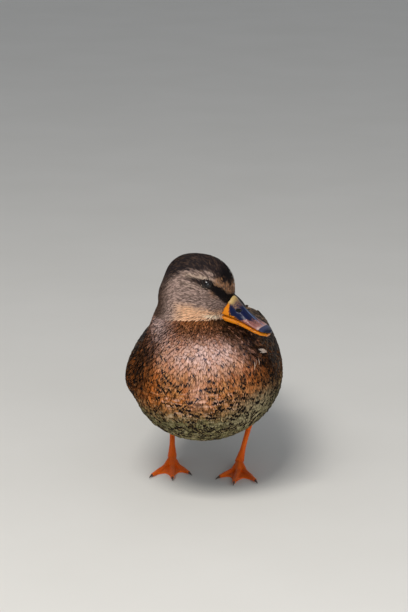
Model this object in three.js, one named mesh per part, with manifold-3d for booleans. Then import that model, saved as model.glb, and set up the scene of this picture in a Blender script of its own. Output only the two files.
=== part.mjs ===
// A hen mallard at rest: standing on both feet, plumage fluffed, neck drawn in,
// head turned to her left and the bill lowered over the shoulder.
//
// Units are millimetres, +Z is up and the breast faces -Y, so her left is +X.
// The feathered outline is one field, a smooth union of eggs. Trunk, neck and head are
// skins of that field, parted by thin slanted cuts. Bill, eyes, wings, tail, legs, feet
// and claws are separate solids that stop a small gap short of their neighbours.
import * as THREE from "three";
import { mergeVertices } from "three/addons/utils/BufferGeometryUtils.js";
import Module from "manifold-3d";

const wasm = await Module();
wasm.setup();

// ---------------------------------------------------------------- driving dimensions

const GAP = 0.3; // between neighbouring solids
const BLEND = 26; // reach of the smooth join between two eggs of the trunk
const CHIN_BLEND = 7; // and where head and neck meet, which leaves a crease under the chin

const TRUNK = {
  breast: { at: [0, -42, 112], radii: [65, 70, 56] },
  belly: { at: [2.5, 20, 98], radii: [72, 92, 53.5] },
  back: { at: [0, 42, 118], radii: [59, 92, 43] },
  rump: { at: [0, 118, 113], radii: [40, 74, 25], pitch: 4 },
};
const NECK = {
  base: { at: [-2, -43, 150], radii: [42, 46, 36] },
  nape: { at: [-24, -40, 171], radii: [20, 23, 24] },
};

const HEAD = {
  at: [-6, -50, 199], // middle of the feathered ball
  turn: 70, // degrees to her left of straight ahead
  nod: 13, // degrees below level
};

// Head sizes are in its own frame: x towards the bill, y to her left, z to the crown.
const FACE = {
  skull: { at: [2.5, 0, 2], radii: [32.5, 24.5, 35] },
  brow: { at: [13, 0, 14], radii: [24, 19, 22] },
  occiput: { at: [-10, 0, 12], radii: [17.5, 17.5, 18] },
  cheek: { at: [0, 9, -9], radii: [30, 17.5, 22] },
  lore: { at: [22, 0, 1], radii: [18, 11.5, 12] },
  chin: { at: [17, 0, -10], radii: [16, 11.5, 8.5] },
};
const FACE_BLEND = 9;

const EYE = { at: [18, 17.4, 17.6], radius: 6.2 };

const BILL = {
  base: 31, // x where the bill is rooted inside the face
  tip: 84.5,
  culmenBase: [40.5, 10], // x, z where the forehead's feathers end
  tomium: { rise: -9.5, drop: -14 }, // z of the cutting edge at the gape and at the tip
  baseHalfWidth: 9.2,
  waistHalfWidth: 8.8,
  spoonHalfWidth: 11.4,
  tipThickness: 3.6,
  lowerThickness: 5.4,
  lowerInset: 1.4, // how far the lower mandible lies inside the upper one
  lip: 1.2,
  nailLength: 9,
};

const WING = {
  // lean: degrees by which a wing's upper edge leans in over the back
  left: { at: [45.5, 52, 111], radii: [24.5, 122, 30], lean: 22 },
  right: { at: [47, 52, 118], radii: [22.5, 122, 27], lean: 13 },
  converge: 8.5, // degrees by which the folded wings close on each other behind
  rise: 4, // degrees by which the wing tip is higher than the wrist
};
const PRIMARIES = {
  root: [34, 128, 124],
  tip: [15, 208, 132],
  rootHalfWidth: 13,
  tipHalfWidth: 5,
  rootThick: 7,
  tipThick: 1.6,
  roof: 26, // degrees by which the vane slopes down and out
};

const TAIL = {
  root: [0, 150, 117],
  length: 86,
  rootHalfWidth: 20,
  tipHalfWidth: 35,
  rootThick: 10,
  tipThick: 1.6,
  arch: 8, // how much lower the outer feathers lie than the middle ones
  round: 15, // how far the outer feathers end short of the middle ones
  lift: 4, // degrees above level
};

const LEGS = {
  right: { foot: [-36, 36], heel: [-37.5, 56], splay: 5, inward: 1 },
  left: { foot: [32, 27], heel: [42, 49], splay: -1, inward: -1 },
};
const THIGH = { radii: [14, 20, 15.5], rise: 9.5, inset: 2, pitch: -24 };
const SHANK = { heel: 46, ankle: 8.5, wide: 5.2, deep: 7.2, knob: 2.1, cut: 12.5 };
const ANKLE_RADIUS = 4.5;
const TOES = {
  inner: { angle: 27, length: 37, radius: 2.7 },
  middle: { angle: 1, length: 49, radius: 3.0 },
  outer: { angle: -25, length: 45, radius: 2.8 },
};
const HIND_TOE = { length: 13, radius: 1.9, from: 8, to: 3.4 };
const CLAW = { length: 6.5, radius: 1.5, droop: 2.2, clear: 0.5 };
const WEB = { thick: 1.5, cove: 0.3 }; // cove: how deep the web's edge dips between two toes

// ---------------------------------------------------------------- solids

const rad = THREE.MathUtils.degToRad;
const lerp = THREE.MathUtils.lerp;
const smooth = THREE.MathUtils.smoothstep;

// A three.js geometry as a manifold solid. A mapping that mirrors turns the faces inwards,
// so an inside-out skin has each of its triangles turned round.
function solid(geometry) {
  const bare = geometry.clone();
  bare.deleteAttribute("normal");
  bare.deleteAttribute("uv");
  const merged = mergeVertices(bare, 1e-4);
  const vertProperties = merged.attributes.position.array;
  const triVerts = new Uint32Array(merged.index.array);
  const made = new wasm.Manifold(new wasm.Mesh({ numProp: 3, vertProperties, triVerts }));
  if (made.volume() > 0) return made;
  return new wasm.Manifold(
    new wasm.Mesh({ numProp: 3, vertProperties, triVerts: triVerts.reverse() }),
  );
}

// A manifold solid as a three.js geometry.
function geometryOf(made) {
  const mesh = made.getMesh();
  const points = new Float32Array(mesh.numVert * 3);
  for (let i = 0; i < mesh.numVert; i++) {
    const start = i * mesh.numProp;
    points.set(mesh.vertProperties.subarray(start, start + 3), i * 3);
  }
  const geometry = new THREE.BufferGeometry();
  geometry.setAttribute("position", new THREE.BufferAttribute(points, 3));
  geometry.setIndex(new THREE.BufferAttribute(new Uint32Array(mesh.triVerts), 1));
  geometry.computeVertexNormals();
  return geometry;
}

// The largest of the pieces that a cut leaves.
function largest(made) {
  const pieces = made.decompose();
  return pieces.reduce((best, piece) => (piece.volume() > best.volume() ? piece : best));
}

// Moves every vertex of a geometry by a function of its place.
function shaped(geometry, place) {
  const position = geometry.attributes.position;
  const p = new THREE.Vector3();
  for (let i = 0; i < position.count; i++) {
    p.fromBufferAttribute(position, i);
    const moved = place(p);
    position.setXYZ(i, moved.x, moved.y, moved.z);
  }
  return geometry;
}

// A closed tube of changing section: place(along 0..1, angle, share of radius 0..1).
function loft(around, along, place) {
  const rod = new THREE.CylinderGeometry(1, 1, 1, around, along);
  return shaped(rod, (p) => {
    const share = Math.min(1, Math.hypot(p.x, p.z));
    return place(p.y + 0.5, Math.atan2(p.x, p.z), share);
  });
}

// A thin plate: place(across -1..1, along 0..1, side -1..1).
function plate(across, along, place) {
  const slab = new THREE.BoxGeometry(2, 1, 2, across, along, 1);
  return shaped(slab, (p) => place(p.x, p.y + 0.5, p.z));
}

// Everything on one side of a plane, as a large box: the side that normal points to.
function halfSpace(point, normal) {
  const size = 800;
  const box = new THREE.BoxGeometry(size, size, size);
  box.translate(0, 0, size / 2);
  const turn = new THREE.Quaternion().setFromUnitVectors(
    new THREE.Vector3(0, 0, 1),
    normal.clone().normalize(),
  );
  box.applyQuaternion(turn);
  box.translate(point.x, point.y, point.z);
  return solid(box);
}

// ---------------------------------------------------------------- the outline's field

// Below zero inside, above zero outside, and near the surface about a distance in mm.
function egg({ at, radii, pitch = 0 }) {
  const toEgg = new THREE.Matrix4()
    .makeTranslation(at[0], at[1], at[2])
    .multiply(new THREE.Matrix4().makeRotationX(rad(pitch)))
    .invert();
  const q = new THREE.Vector3();
  return (p) => {
    q.copy(p).applyMatrix4(toEgg);
    const near = Math.hypot(q.x / radii[0], q.y / radii[1], q.z / radii[2]);
    const steep = Math.hypot(
      q.x / radii[0] ** 2,
      q.y / radii[1] ** 2,
      q.z / radii[2] ** 2,
    );
    return steep > 0 ? (near * (near - 1)) / steep : -Math.min(...radii);
  };
}

function smoothUnion(fields, reach) {
  return (p) =>
    fields.reduce((joined, field) => {
      const value = field(p);
      if (joined === null) return value;
      const overlap = Math.max(reach - Math.abs(joined - value), 0) / reach;
      return Math.min(joined, value) - (overlap * overlap * reach) / 4;
    }, null);
}

const headFrame = new THREE.Matrix4()
  .makeTranslation(...HEAD.at)
  .multiply(new THREE.Matrix4().makeRotationZ(rad(HEAD.turn - 90)))
  .multiply(new THREE.Matrix4().makeRotationY(rad(HEAD.nod)));
const toHead = headFrame.clone().invert();
const inHead = (x, y, z) => new THREE.Vector3(x, y, z).applyMatrix4(headFrame);

function headField() {
  const { cheek, ...middle } = FACE;
  const cheeks = [1, -1].map((side) => ({
    ...cheek,
    at: [cheek.at[0], cheek.at[1] * side, cheek.at[2]],
  }));
  const face = smoothUnion([...Object.values(middle), ...cheeks].map(egg), FACE_BLEND);
  const q = new THREE.Vector3();
  return (p) => face(q.copy(p).applyMatrix4(toHead));
}

const trunkField = smoothUnion(Object.values(TRUNK).map(egg), BLEND);
const neckField = smoothUnion([egg(NECK.base), egg(NECK.nape)], BLEND / 2);
const bodyField = smoothUnion([trunkField, neckField], BLEND);
const headAndNeckField = smoothUnion([neckField, headField()], CHIN_BLEND);
const wholeField = smoothUnion([bodyField, headField()], CHIN_BLEND);

// A closed skin of a field: a sphere whose vertices slide out from a spine to the surface.
function skinOf(field, { middle, spine, around, rings, offset = 0 }) {
  const reach = 190;
  const sphere = new THREE.SphereGeometry(1, around, rings);
  const upright = new THREE.Quaternion().setFromUnitVectors(
    new THREE.Vector3(0, 1, 0),
    spine.clone().normalize(),
  );
  sphere.applyQuaternion(upright);
  const axis = spine.clone().normalize();
  const p = new THREE.Vector3();
  return shaped(sphere, (direction) => {
    const start = middle.clone().addScaledVector(spine, direction.dot(axis));
    let inside = 0;
    let outside = reach;
    for (let step = 2; step <= reach; step += 2) {
      p.copy(start).addScaledVector(direction, step);
      if (field(p) > offset) {
        outside = step;
        break;
      }
      inside = step;
    }
    for (let halving = 0; halving < 14; halving++) {
      const between = (inside + outside) / 2;
      p.copy(start).addScaledVector(direction, between);
      if (field(p) > offset) outside = between;
      else inside = between;
    }
    return start.addScaledVector(direction, inside);
  });
}

// ---------------------------------------------------------------- materials

function finish(colour, roughness) {
  return new THREE.MeshStandardMaterial({ color: colour, roughness, metalness: 0 });
}
const MATERIALS = {
  breast: finish(0x9a6a45, 0.85),
  head: finish(0x9c8268, 0.85),
  wing: finish(0x4a3a2e, 0.8),
  tail: finish(0x8a7257, 0.8),
  bill: finish(0xb8701f, 0.45),
  eye: finish(0x1a100a, 0.08),
  leg: finish(0xe0561a, 0.55),
  claw: finish(0x2e2119, 0.45),
};

const duck = new THREE.Group();

function add(name, made, material) {
  const mesh = new THREE.Mesh(geometryOf(made), material);
  mesh.name = name;
  duck.add(mesh);
  return made;
}

// ---------------------------------------------------------------- trunk, neck and head

const vector = (x, y, z) => new THREE.Vector3(x, y, z);

// Slanted planes that part the head from the neck, and the neck from the trunk.
const neckTop = { point: vector(0, -50, 179), normal: vector(0, -0.05, 1) };
const neckFoot = { point: vector(0, -46, 158), normal: vector(0, -0.36, 0.94) };

function above(cut, shift) {
  const normal = cut.normal.clone().normalize();
  return halfSpace(cut.point.clone().addScaledVector(normal, shift), normal);
}
function below(cut, shift) {
  const normal = cut.normal.clone().normalize();
  const point = cut.point.clone().addScaledVector(normal, shift);
  return halfSpace(point, normal.clone().negate());
}

function eyeCentre(side) {
  return inHead(EYE.at[0], EYE.at[1] * side, EYE.at[2]);
}
function ball(centre, radius, around, rings) {
  const sphere = new THREE.SphereGeometry(radius, around, rings);
  sphere.translate(centre.x, centre.y, centre.z);
  return solid(sphere);
}

const trunkSkin = {
  middle: vector(0, 20, 104),
  spine: vector(0, 62, 4),
  around: 32,
  rings: 24,
};

function makeTrunk() {
  const whole = solid(skinOf(bodyField, trunkSkin));
  return whole.intersect(below(neckFoot, -GAP / 2));
}

function makeNeck(offset = 0) {
  const middle = vector(-1, -48, 166);
  const skin = { middle, spine: vector(0, 0, 8), around: 28, rings: 18, offset };
  return solid(skinOf(wholeField, skin))
    .intersect(above(neckFoot, GAP / 2 - offset))
    .intersect(below(neckTop, offset - GAP / 2));
}

function makeHead(offset = 0) {
  const middle = inHead(6, 0, 2);
  const spine = inHead(20, 0, -1).sub(middle);
  const skin = { middle, spine, around: 26, rings: 22, offset };
  const whole = solid(skinOf(headAndNeckField, skin));
  return whole.intersect(above(neckTop, GAP / 2 - offset));
}

// ---------------------------------------------------------------- bill

const billShare = (x) => (x - BILL.base) / (BILL.tip - BILL.base);

function tomiumHeight(share) {
  return lerp(BILL.tomium.rise, BILL.tomium.drop, share) + 1.6 * Math.sin(Math.PI * share);
}
// The culmen falls steeply from the forehead, runs hollow, and levels out at the spoon.
function culmenHeight(share) {
  const [x, z] = BILL.culmenBase;
  const base = billShare(x);
  const fall = z - (tomiumHeight(1) + BILL.tipThickness);
  const run = Math.max(0, (share - base) / (1 - base));
  return z - fall * (1 - (1 - Math.min(run, 1)) ** 1.75) + Math.max(0, base - share) * 6;
}
function billHalfWidth(share) {
  const waist = smooth(share, 0, 0.35);
  const spoon = smooth(share, 0.35, 0.8);
  const round = Math.sqrt(Math.max(0, 1 - ((share - 0.78) / 0.225) ** 2));
  const width = lerp(
    lerp(BILL.baseHalfWidth, BILL.waistHalfWidth, waist),
    BILL.spoonHalfWidth,
    spoon,
  );
  return share > 0.78 ? width * Math.max(round, 0.2) : width;
}

// One mandible: arched from its widest level up to a top height, and nearly flat below, where
// it drops by the thickness of a lip. A smaller crown makes a squarer arch.
function mandible(top, widest, crown, inset) {
  return loft(14, 10, (along, angle, share) => {
    const x = lerp(BILL.base, BILL.tip - inset, along);
    const s = billShare(x);
    const half = (billHalfWidth(s) - inset) * share;
    const y = Math.sin(angle) * half;
    const up = Math.cos(angle) * share;
    const height = up > 0 ? top(s) - widest(s) : BILL.lip;
    const z = widest(s) + Math.sign(up) * Math.abs(up) ** crown * Math.abs(height);
    return inHead(x, y, z);
  });
}

function makeBill(feathers) {
  const gap = GAP / 2;
  const roof = (s) => tomiumHeight(s) + gap + BILL.lip;
  const upper = solid(mandible(culmenHeight, roof, 0.85, 0));
  const seam = (s) => tomiumHeight(s) - gap;
  const floor = (s) => tomiumHeight(s) - BILL.lowerThickness * (1 - 0.5 * s);
  const lower = solid(mandible(seam, floor, 0.5, BILL.lowerInset)).subtract(upper);
  const nailCut = inHead(BILL.tip - BILL.nailLength, 0, -10);
  const forward = inHead(1, 0, 0).sub(inHead(0, 0, 0));
  const behind = halfSpace(nailCut.clone().addScaledVector(forward, -gap), forward.clone().negate());
  const ahead = halfSpace(nailCut.clone().addScaledVector(forward, gap), forward);
  return {
    bill_upper: upper.intersect(behind).subtract(feathers),
    bill_nail: upper.intersect(ahead),
    bill_lower: lower.subtract(feathers),
  };
}

// ---------------------------------------------------------------- wings and tail

function wingEgg(side, grown = 0) {
  const { converge, rise } = WING;
  const { at, radii, lean } = side > 0 ? WING.left : WING.right;
  const shell = new THREE.SphereGeometry(1, 18, 18);
  shell.rotateX(Math.PI / 2);
  shell.scale(radii[0] + grown, radii[1] + grown, radii[2] + grown);
  shell.rotateY(rad(-lean * side));
  shell.rotateX(rad(rise));
  shell.rotateZ(rad(converge * side));
  shell.translate(at[0] * side, at[1], at[2]);
  return solid(shell);
}

// The tips of the flight feathers, stacked into one roofed blade that reaches over the rump.
function primaryBlade(side) {
  const { root, tip, rootHalfWidth, tipHalfWidth, rootThick, tipThick, roof } = PRIMARIES;
  const middle = (along) => vector(
    lerp(root[0], tip[0], along) * side,
    lerp(root[1], tip[1], along),
    lerp(root[2], tip[2], along),
  );
  return solid(plate(4, 6, (across, along, face) => {
    const point = Math.sqrt(Math.max(0, 1 - along ** 3));
    const half = lerp(rootHalfWidth, tipHalfWidth, along) * Math.max(point, 0.35);
    const thick = lerp(rootThick, tipThick, along) * (1 - 0.6 * across * across);
    const out = across * half;
    const p = middle(along);
    p.x += out * Math.cos(rad(roof));
    p.z += -out * side * Math.sin(rad(roof)) + (face * thick) / 2;
    return p;
  }));
}

function tailFan() {
  const { root, length, rootHalfWidth, tipHalfWidth, rootThick, tipThick } = TAIL;
  return solid(plate(8, 5, (across, along, face) => {
    const half = lerp(rootHalfWidth, tipHalfWidth, along ** 0.8);
    const reach = (length - TAIL.round * across * across) * along;
    const thick = lerp(rootThick, tipThick, along ** 0.7) * (1 - 0.35 * across * across);
    return vector(
      root[0] + across * half,
      root[1] + reach * Math.cos(rad(TAIL.lift)),
      root[2] + reach * Math.sin(rad(TAIL.lift)) - TAIL.arch * across ** 2 + (face * thick) / 2,
    );
  }));
}

// ---------------------------------------------------------------- legs and feet

// A rod along a path: middle(t) is a point, size(t) gives half-width and half-height.
function rod(around, along, middle, size, across, up) {
  return solid(loft(around, along, (t, angle, share) => {
    const [wide, high] = size(t);
    return middle(t)
      .addScaledVector(across, Math.sin(angle) * wide * share)
      .addScaledVector(up, Math.cos(angle) * high * share);
  }));
}

const bump = (t, at, width) => Math.exp(-(((t - at) / width) ** 2));
const floorUp = (height) => halfSpace(vector(0, 0, height), vector(0, 0, 1));

function thighEgg({ heel }, grown = 0) {
  const shell = new THREE.SphereGeometry(1, 12, 9);
  shell.scale(...THIGH.radii.map((radius) => radius + grown));
  shell.rotateX(rad(THIGH.pitch));
  const inset = Math.sign(heel[0]) * THIGH.inset;
  shell.translate(heel[0] - inset, heel[1], SHANK.heel + THIGH.rise);
  return solid(shell);
}

function shankRod({ foot, heel }) {
  const top = vector(heel[0], heel[1], SHANK.heel);
  const bottom = vector(foot[0], foot[1], SHANK.ankle);
  const size = (t) => {
    const knobs = SHANK.knob * (0.6 * bump(t, 0, 0.14) + bump(t, 1, 0.16));
    return [SHANK.wide / 2 + knobs, SHANK.deep / 2 + knobs * 0.8];
  };
  const middle = (t) => top.clone().lerp(bottom, t);
  return rod(10, 7, middle, size, vector(1, 0, 0), vector(0, 1, 0));
}

// A direction on the floor, in degrees to the duck's left of straight ahead.
const wayOf = (degrees) => vector(Math.sin(rad(degrees)), -Math.cos(rad(degrees)), 0);

function toePath(ankle, { length, radius }, heading) {
  const way = wayOf(heading);
  return (t) => {
    const fall = smooth(t, 0, 0.34);
    const p = ankle.clone().addScaledVector(way, length * t);
    p.z = lerp(SHANK.ankle, radius * 0.72, fall);
    return p;
  };
}
function toeSize({ radius }) {
  return (t) => {
    const knuckles = 0.12 * (bump(t, 0.4, 0.08) + bump(t, 0.68, 0.07));
    const here = radius * (1.08 - 0.45 * t + knuckles);
    return [here, here];
  };
}
function makeToe(ankle, toe, heading) {
  const way = wayOf(heading);
  const across = vector(-way.y, way.x, 0);
  return rod(6, 6, toePath(ankle, toe, heading), toeSize(toe), across, vector(0, 0, 1));
}

const headingOf = (leg, toe) => toe.angle * leg.inward + leg.splay;

// The web between two toes: a thin sheet on the floor whose front edge is hollowed.
function makeWeb(leg, ankle, one, other) {
  return solid(plate(4, 3, (across, along, face) => {
    const share = (across + 1) / 2; // 0 at the one toe, 1 at the other
    const way = wayOf(lerp(headingOf(leg, one), headingOf(leg, other), share));
    const hollow = 1 - WEB.cove * (1 - across * across);
    const reach = lerp(3, lerp(one.length, other.length, share) * 0.93 * hollow, along);
    const p = ankle.clone().addScaledVector(way, reach);
    const rise = 2.4 * (1 - smooth(along, 0, 0.4));
    p.z = face > 0 ? WEB.thick + rise : 0;
    return p;
  }));
}

function makeFoot(leg) {
  const ankle = vector(leg.foot[0], leg.foot[1], 0);
  const hub = ball(vector(leg.foot[0], leg.foot[1], SHANK.ankle), ANKLE_RADIUS, 10, 7);
  const toes = Object.values(TOES).map((toe) => makeToe(ankle, toe, headingOf(leg, toe)));
  const webs = [
    makeWeb(leg, ankle, TOES.inner, TOES.middle),
    makeWeb(leg, ankle, TOES.middle, TOES.outer),
  ];
  return [...toes, ...webs].reduce((joined, piece) => joined.add(piece), hub);
}

const hindHeading = (leg) => 180 + leg.splay - leg.inward * 14;

function hindToePath(leg) {
  const way = wayOf(hindHeading(leg));
  return (t) => {
    const p = vector(leg.foot[0], leg.foot[1], lerp(HIND_TOE.from, HIND_TOE.to, t ** 1.4));
    return p.addScaledVector(way, HIND_TOE.length * t);
  };
}
function makeHindToe(leg) {
  const way = wayOf(hindHeading(leg));
  const across = vector(-way.y, way.x, 0);
  const size = (t) => {
    const here = HIND_TOE.radius * (1.1 - 0.4 * t);
    return [here, here];
  };
  return rod(7, 3, hindToePath(leg), size, across, vector(0, 0, 1));
}

// A claw carries on from a toe's end, droops and runs to a point just clear of the floor.
function makeClaw(end, heading, size) {
  const way = wayOf(heading);
  const across = vector(-way.y, way.x, 0);
  const middle = (t) => {
    const p = end.clone().addScaledVector(way, GAP + CLAW.length * size * t);
    p.z -= CLAW.droop * size * t * t * 0.5;
    return p;
  };
  const taper = (t) => {
    const here = CLAW.radius * size * (1 - 0.8 * t);
    return [here * 0.8, here];
  };
  return rod(6, 3, middle, taper, across, vector(0, 0, 1)).intersect(floorUp(CLAW.clear));
}

// ---------------------------------------------------------------- putting it together

const outerTrunk = solid(skinOf(bodyField, { ...trunkSkin, offset: GAP }));
add("trunk", makeTrunk(), MATERIALS.breast);
add("neck", makeNeck(), MATERIALS.head);

const sockets = [1, -1].map((side) => ball(eyeCentre(side), EYE.radius + GAP, 12, 9));
add("head", sockets.reduce((left, socket) => left.subtract(socket), makeHead()), MATERIALS.head);
const bill = makeBill(makeHead(GAP).add(makeNeck(GAP)));
for (const name of Object.keys(bill)) add(name, bill[name], MATERIALS.bill);
add("tail", tailFan().subtract(outerTrunk), MATERIALS.tail);

for (const [name, side] of [["left", 1], ["right", -1]]) {
  add(`eye_${name}`, ball(eyeCentre(side), EYE.radius, 12, 9), MATERIALS.eye);
  add(`wing_${name}`, largest(wingEgg(side).subtract(outerTrunk)), MATERIALS.wing);
  const feathers = outerTrunk.add(wingEgg(side, GAP));
  add(`primaries_${name}`, primaryBlade(side).subtract(feathers), MATERIALS.wing);

  const leg = LEGS[name];
  add(`thigh_${name}`, thighEgg(leg).subtract(feathers), MATERIALS.breast);
  const hidden = feathers.add(thighEgg(leg, GAP));
  const shank = shankRod(leg);
  const shown = shank.intersect(floorUp(SHANK.cut + GAP)).subtract(hidden);
  add(`shank_${name}`, shown, MATERIALS.leg);
  const foot = makeFoot(leg).add(shank).subtract(floorUp(SHANK.cut));
  add(`foot_${name}`, foot.intersect(floorUp(0)), MATERIALS.leg);

  const ankle = vector(leg.foot[0], leg.foot[1], 0);
  for (const [toe, sizes] of Object.entries(TOES)) {
    const heading = headingOf(leg, sizes);
    const end = toePath(ankle, sizes, heading)(1);
    add(`claw_${toe}_${name}`, makeClaw(end, heading, 1), MATERIALS.claw);
  }
  const clearOfAnkle = ball(ankle.setZ(SHANK.ankle), ANKLE_RADIUS + 2 * GAP, 12, 8);
  add(`hind_toe_${name}`, makeHindToe(leg).subtract(clearOfAnkle), MATERIALS.leg);
  const hindEnd = hindToePath(leg)(1);
  add(`claw_hind_${name}`, makeClaw(hindEnd, hindHeading(leg), 0.7), MATERIALS.claw);
}

// The row's origin is the middle of the box's underside.
const box = new THREE.Box3().setFromObject(duck);
const middle = box.getCenter(vector(0, 0, 0));
duck.position.set(-middle.x, -middle.y, -box.min.z);

export default duck;
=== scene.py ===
# %% [markdown]
# # A hen mallard as a museum model
# A mounted bird is a body form, a skin drawn over it, and thousands of feathers that all
# point away from the bill. This lesson builds it in the same order. The solids of the CAD
# model give the outline, and everything here is fitted to them, so nothing is placed by eye.
# We load the solids first.

import math

import bmesh
import bpy
import numpy as np
from mathutils import Matrix, Vector, noise
from mathutils.bvhtree import BVHTree


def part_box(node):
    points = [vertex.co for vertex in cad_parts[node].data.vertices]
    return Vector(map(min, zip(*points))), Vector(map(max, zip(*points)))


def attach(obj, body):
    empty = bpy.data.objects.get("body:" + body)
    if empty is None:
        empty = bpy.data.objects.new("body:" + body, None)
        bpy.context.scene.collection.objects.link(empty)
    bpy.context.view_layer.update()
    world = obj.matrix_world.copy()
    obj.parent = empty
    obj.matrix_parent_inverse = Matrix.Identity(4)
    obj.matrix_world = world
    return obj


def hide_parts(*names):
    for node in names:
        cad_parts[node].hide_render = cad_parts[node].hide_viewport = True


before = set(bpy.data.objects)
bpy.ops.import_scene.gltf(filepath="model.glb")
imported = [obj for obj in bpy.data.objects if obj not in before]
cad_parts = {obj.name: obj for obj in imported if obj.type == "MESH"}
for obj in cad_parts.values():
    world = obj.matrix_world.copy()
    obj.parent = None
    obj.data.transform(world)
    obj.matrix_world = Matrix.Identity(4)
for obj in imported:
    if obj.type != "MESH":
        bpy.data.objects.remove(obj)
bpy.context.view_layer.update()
MM = 0.001
SIDES = ((1, "left"), (-1, "right"))
rng = np.random.default_rng(11)

# %% [markdown]
# The camera stands in front of the bird, a little to its left and a little above. A long
# lens from 2.4 m away keeps the perspective as flat as a bird portrait has it.

# %% Camera
CAMERA_TURN, CAMERA_RISE, CAMERA_DISTANCE = math.radians(5), math.radians(14), 2.4
AIM = Vector((-3.46, -26.93, 163.7)) * MM

level = math.cos(CAMERA_RISE)
back = Vector((math.sin(CAMERA_TURN) * level, -math.cos(CAMERA_TURN) * level, math.sin(CAMERA_RISE)))
lens = bpy.data.cameras.new("portrait_lens")
lens.lens, lens.sensor_width, lens.clip_start, lens.clip_end = 144, 36, 0.05, 50
camera = bpy.data.objects.new("portrait_camera", lens)
camera.location = AIM + back * CAMERA_DISTANCE
camera.rotation_euler = (-back).to_track_quat("-Z", "Y").to_euler()
bpy.context.scene.collection.objects.link(camera)
bpy.context.scene.camera = camera
print("camera at", [round(v, 3) for v in camera.location])

# %% [markdown]
# Markings on a bird's head are described from the bill and the eye, so they need a frame
# that turns with the head: x runs to the bill, y to the bird's left and z to the crown.
# The eyes' own boxes give its place. The turn and the nod are the pose of this bird.

# %% The head's own frame
HEAD_TURN, HEAD_NOD = math.radians(-20), math.radians(13)
EYE_IN_HEAD = np.array([18.0, 17.4, 17.6])

def centre_of(node):
    low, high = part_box(node)
    return (low + high) / 2

eye_centres = np.array([centre_of(f"eye_{side_name}") for _, side_name in SIDES])
head_axes = Matrix.Rotation(HEAD_TURN, 3, "Z") @ Matrix.Rotation(HEAD_NOD, 3, "Y")
between_eyes = (centre_of("eye_left") + centre_of("eye_right")) / 2
head_origin = between_eyes - head_axes @ (Vector(EYE_IN_HEAD * [1, 0, 1]) * MM)
row_from_head = Matrix.Translation(head_origin) @ head_axes.to_4x4()
head_from_row = row_from_head.inverted()
HEAD_AXES, HEAD_ORIGIN = np.array(head_axes), np.array(head_origin)

def in_head(places):
    """Places of the row frame, as millimetres in the head's frame."""
    return (places - HEAD_ORIGIN) @ HEAD_AXES / MM

print("head frame at", [round(v / MM, 1) for v in head_origin], "mm")

# %% [markdown]
# A few small helpers serve every piece. One welds copies of solids, because a solid's
# triangles come loose. One turns them into an even closed skin, as a sculptor's remesh
# does. The last gives a finished mesh its finish, its body and the solids it stands for.

# %% Helpers for pieces
def shown(name, mesh):
    piece = bpy.data.objects.new(name, mesh)
    bpy.context.scene.collection.objects.link(piece)
    return piece

def made(name, bm):
    """A new smooth object from a bmesh."""
    mesh = bpy.data.meshes.new(name)
    bm.to_mesh(mesh)
    bm.free()
    mesh.shade_smooth()
    return shown(name, mesh)

def read(items, key, width, kind=float):
    """One value of every item, as rows of width numbers."""
    values = np.zeros(len(items) * width, kind)
    items.foreach_get(key, values)
    return values.reshape(-1, width)

def moved(mesh, points):
    mesh.vertices.foreach_set("co", points.ravel())
    mesh.update()

def note_on(mesh, notes):
    """Stores three numbers for each point, for the materials to read."""
    for note, values in notes.items():
        attribute = mesh.attributes.new(note, "FLOAT_VECTOR", "POINT")
        attribute.data.foreach_set("vector", values.astype(np.float32).ravel())

def welded(name, nodes, grow):
    """A new object with copies of the solids, each welded and swollen a little."""
    bm = bmesh.new()
    for node in nodes:
        bm.from_mesh(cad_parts[node].data)
    bmesh.ops.remove_doubles(bm, verts=bm.verts, dist=0.02 * MM)
    bm.normal_update()
    for v in bm.verts:
        v.co += v.normal * grow
    return made(name, bm)

def smooth_skin(name, nodes, grow, voxel, rounds):
    """Solids swollen by grow and merged to one even closed skin, in millimetres, smoothed some rounds."""
    piece = welded(name, nodes, grow * MM)
    cut = piece.modifiers.new("even", "REMESH")
    cut.mode, cut.voxel_size = "VOXEL", voxel * MM
    soft = piece.modifiers.new("soft", "SMOOTH")
    soft.iterations, soft.factor = rounds, 0.5
    ready = bpy.data.meshes.new_from_object(piece.evaluated_get(bpy.context.evaluated_depsgraph_get()))
    piece.modifiers.clear()
    old, piece.data = piece.data, ready
    bpy.data.meshes.remove(old)
    ready.shade_smooth()
    return piece

def dress(piece, material, slot, *nodes):
    piece.data.materials.clear()
    piece.data.materials.append(material)
    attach(piece, "root")
    if nodes:
        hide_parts(*nodes)
    faces = sum(len(p.vertices) - 2 for p in piece.data.polygons)
    print(f"{piece.name}: {faces} triangles")

# %% [markdown]
# Feathers lie on a form. A taxidermist carves it from wood wool; here the solids of the
# flesh are merged into one even surface, with the tail and wing tips added as a guide, so
# that the last coverts run out over them. A search tree answers where the nearest point
# of the form is, which lets every feather hug the body.

# %% The form
FLESH = ["trunk", "neck", "head", "thigh_left", "thigh_right", "wing_left", "wing_right"]
BALLS = ["eye_left", "eye_right"]
FLESH_GROW, FLESH_VOXEL, FLUFF_ROUNDS = 0.5, 1.6, 230

def unit(vectors):
    return vectors / np.maximum(np.linalg.norm(vectors, axis=-1, keepdims=True), 1e-12)

def ease(value, low, high):
    """0 below low, 1 above high, and a soft step between."""
    t = np.clip((value - low) / (high - low), 0, 1)
    return t * t * (3 - 2 * t)

def on_curve(curve, x):
    """The height of a curve, given as (x, height) points, at each x."""
    return np.interp(x, *np.array(curve).T)

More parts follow.
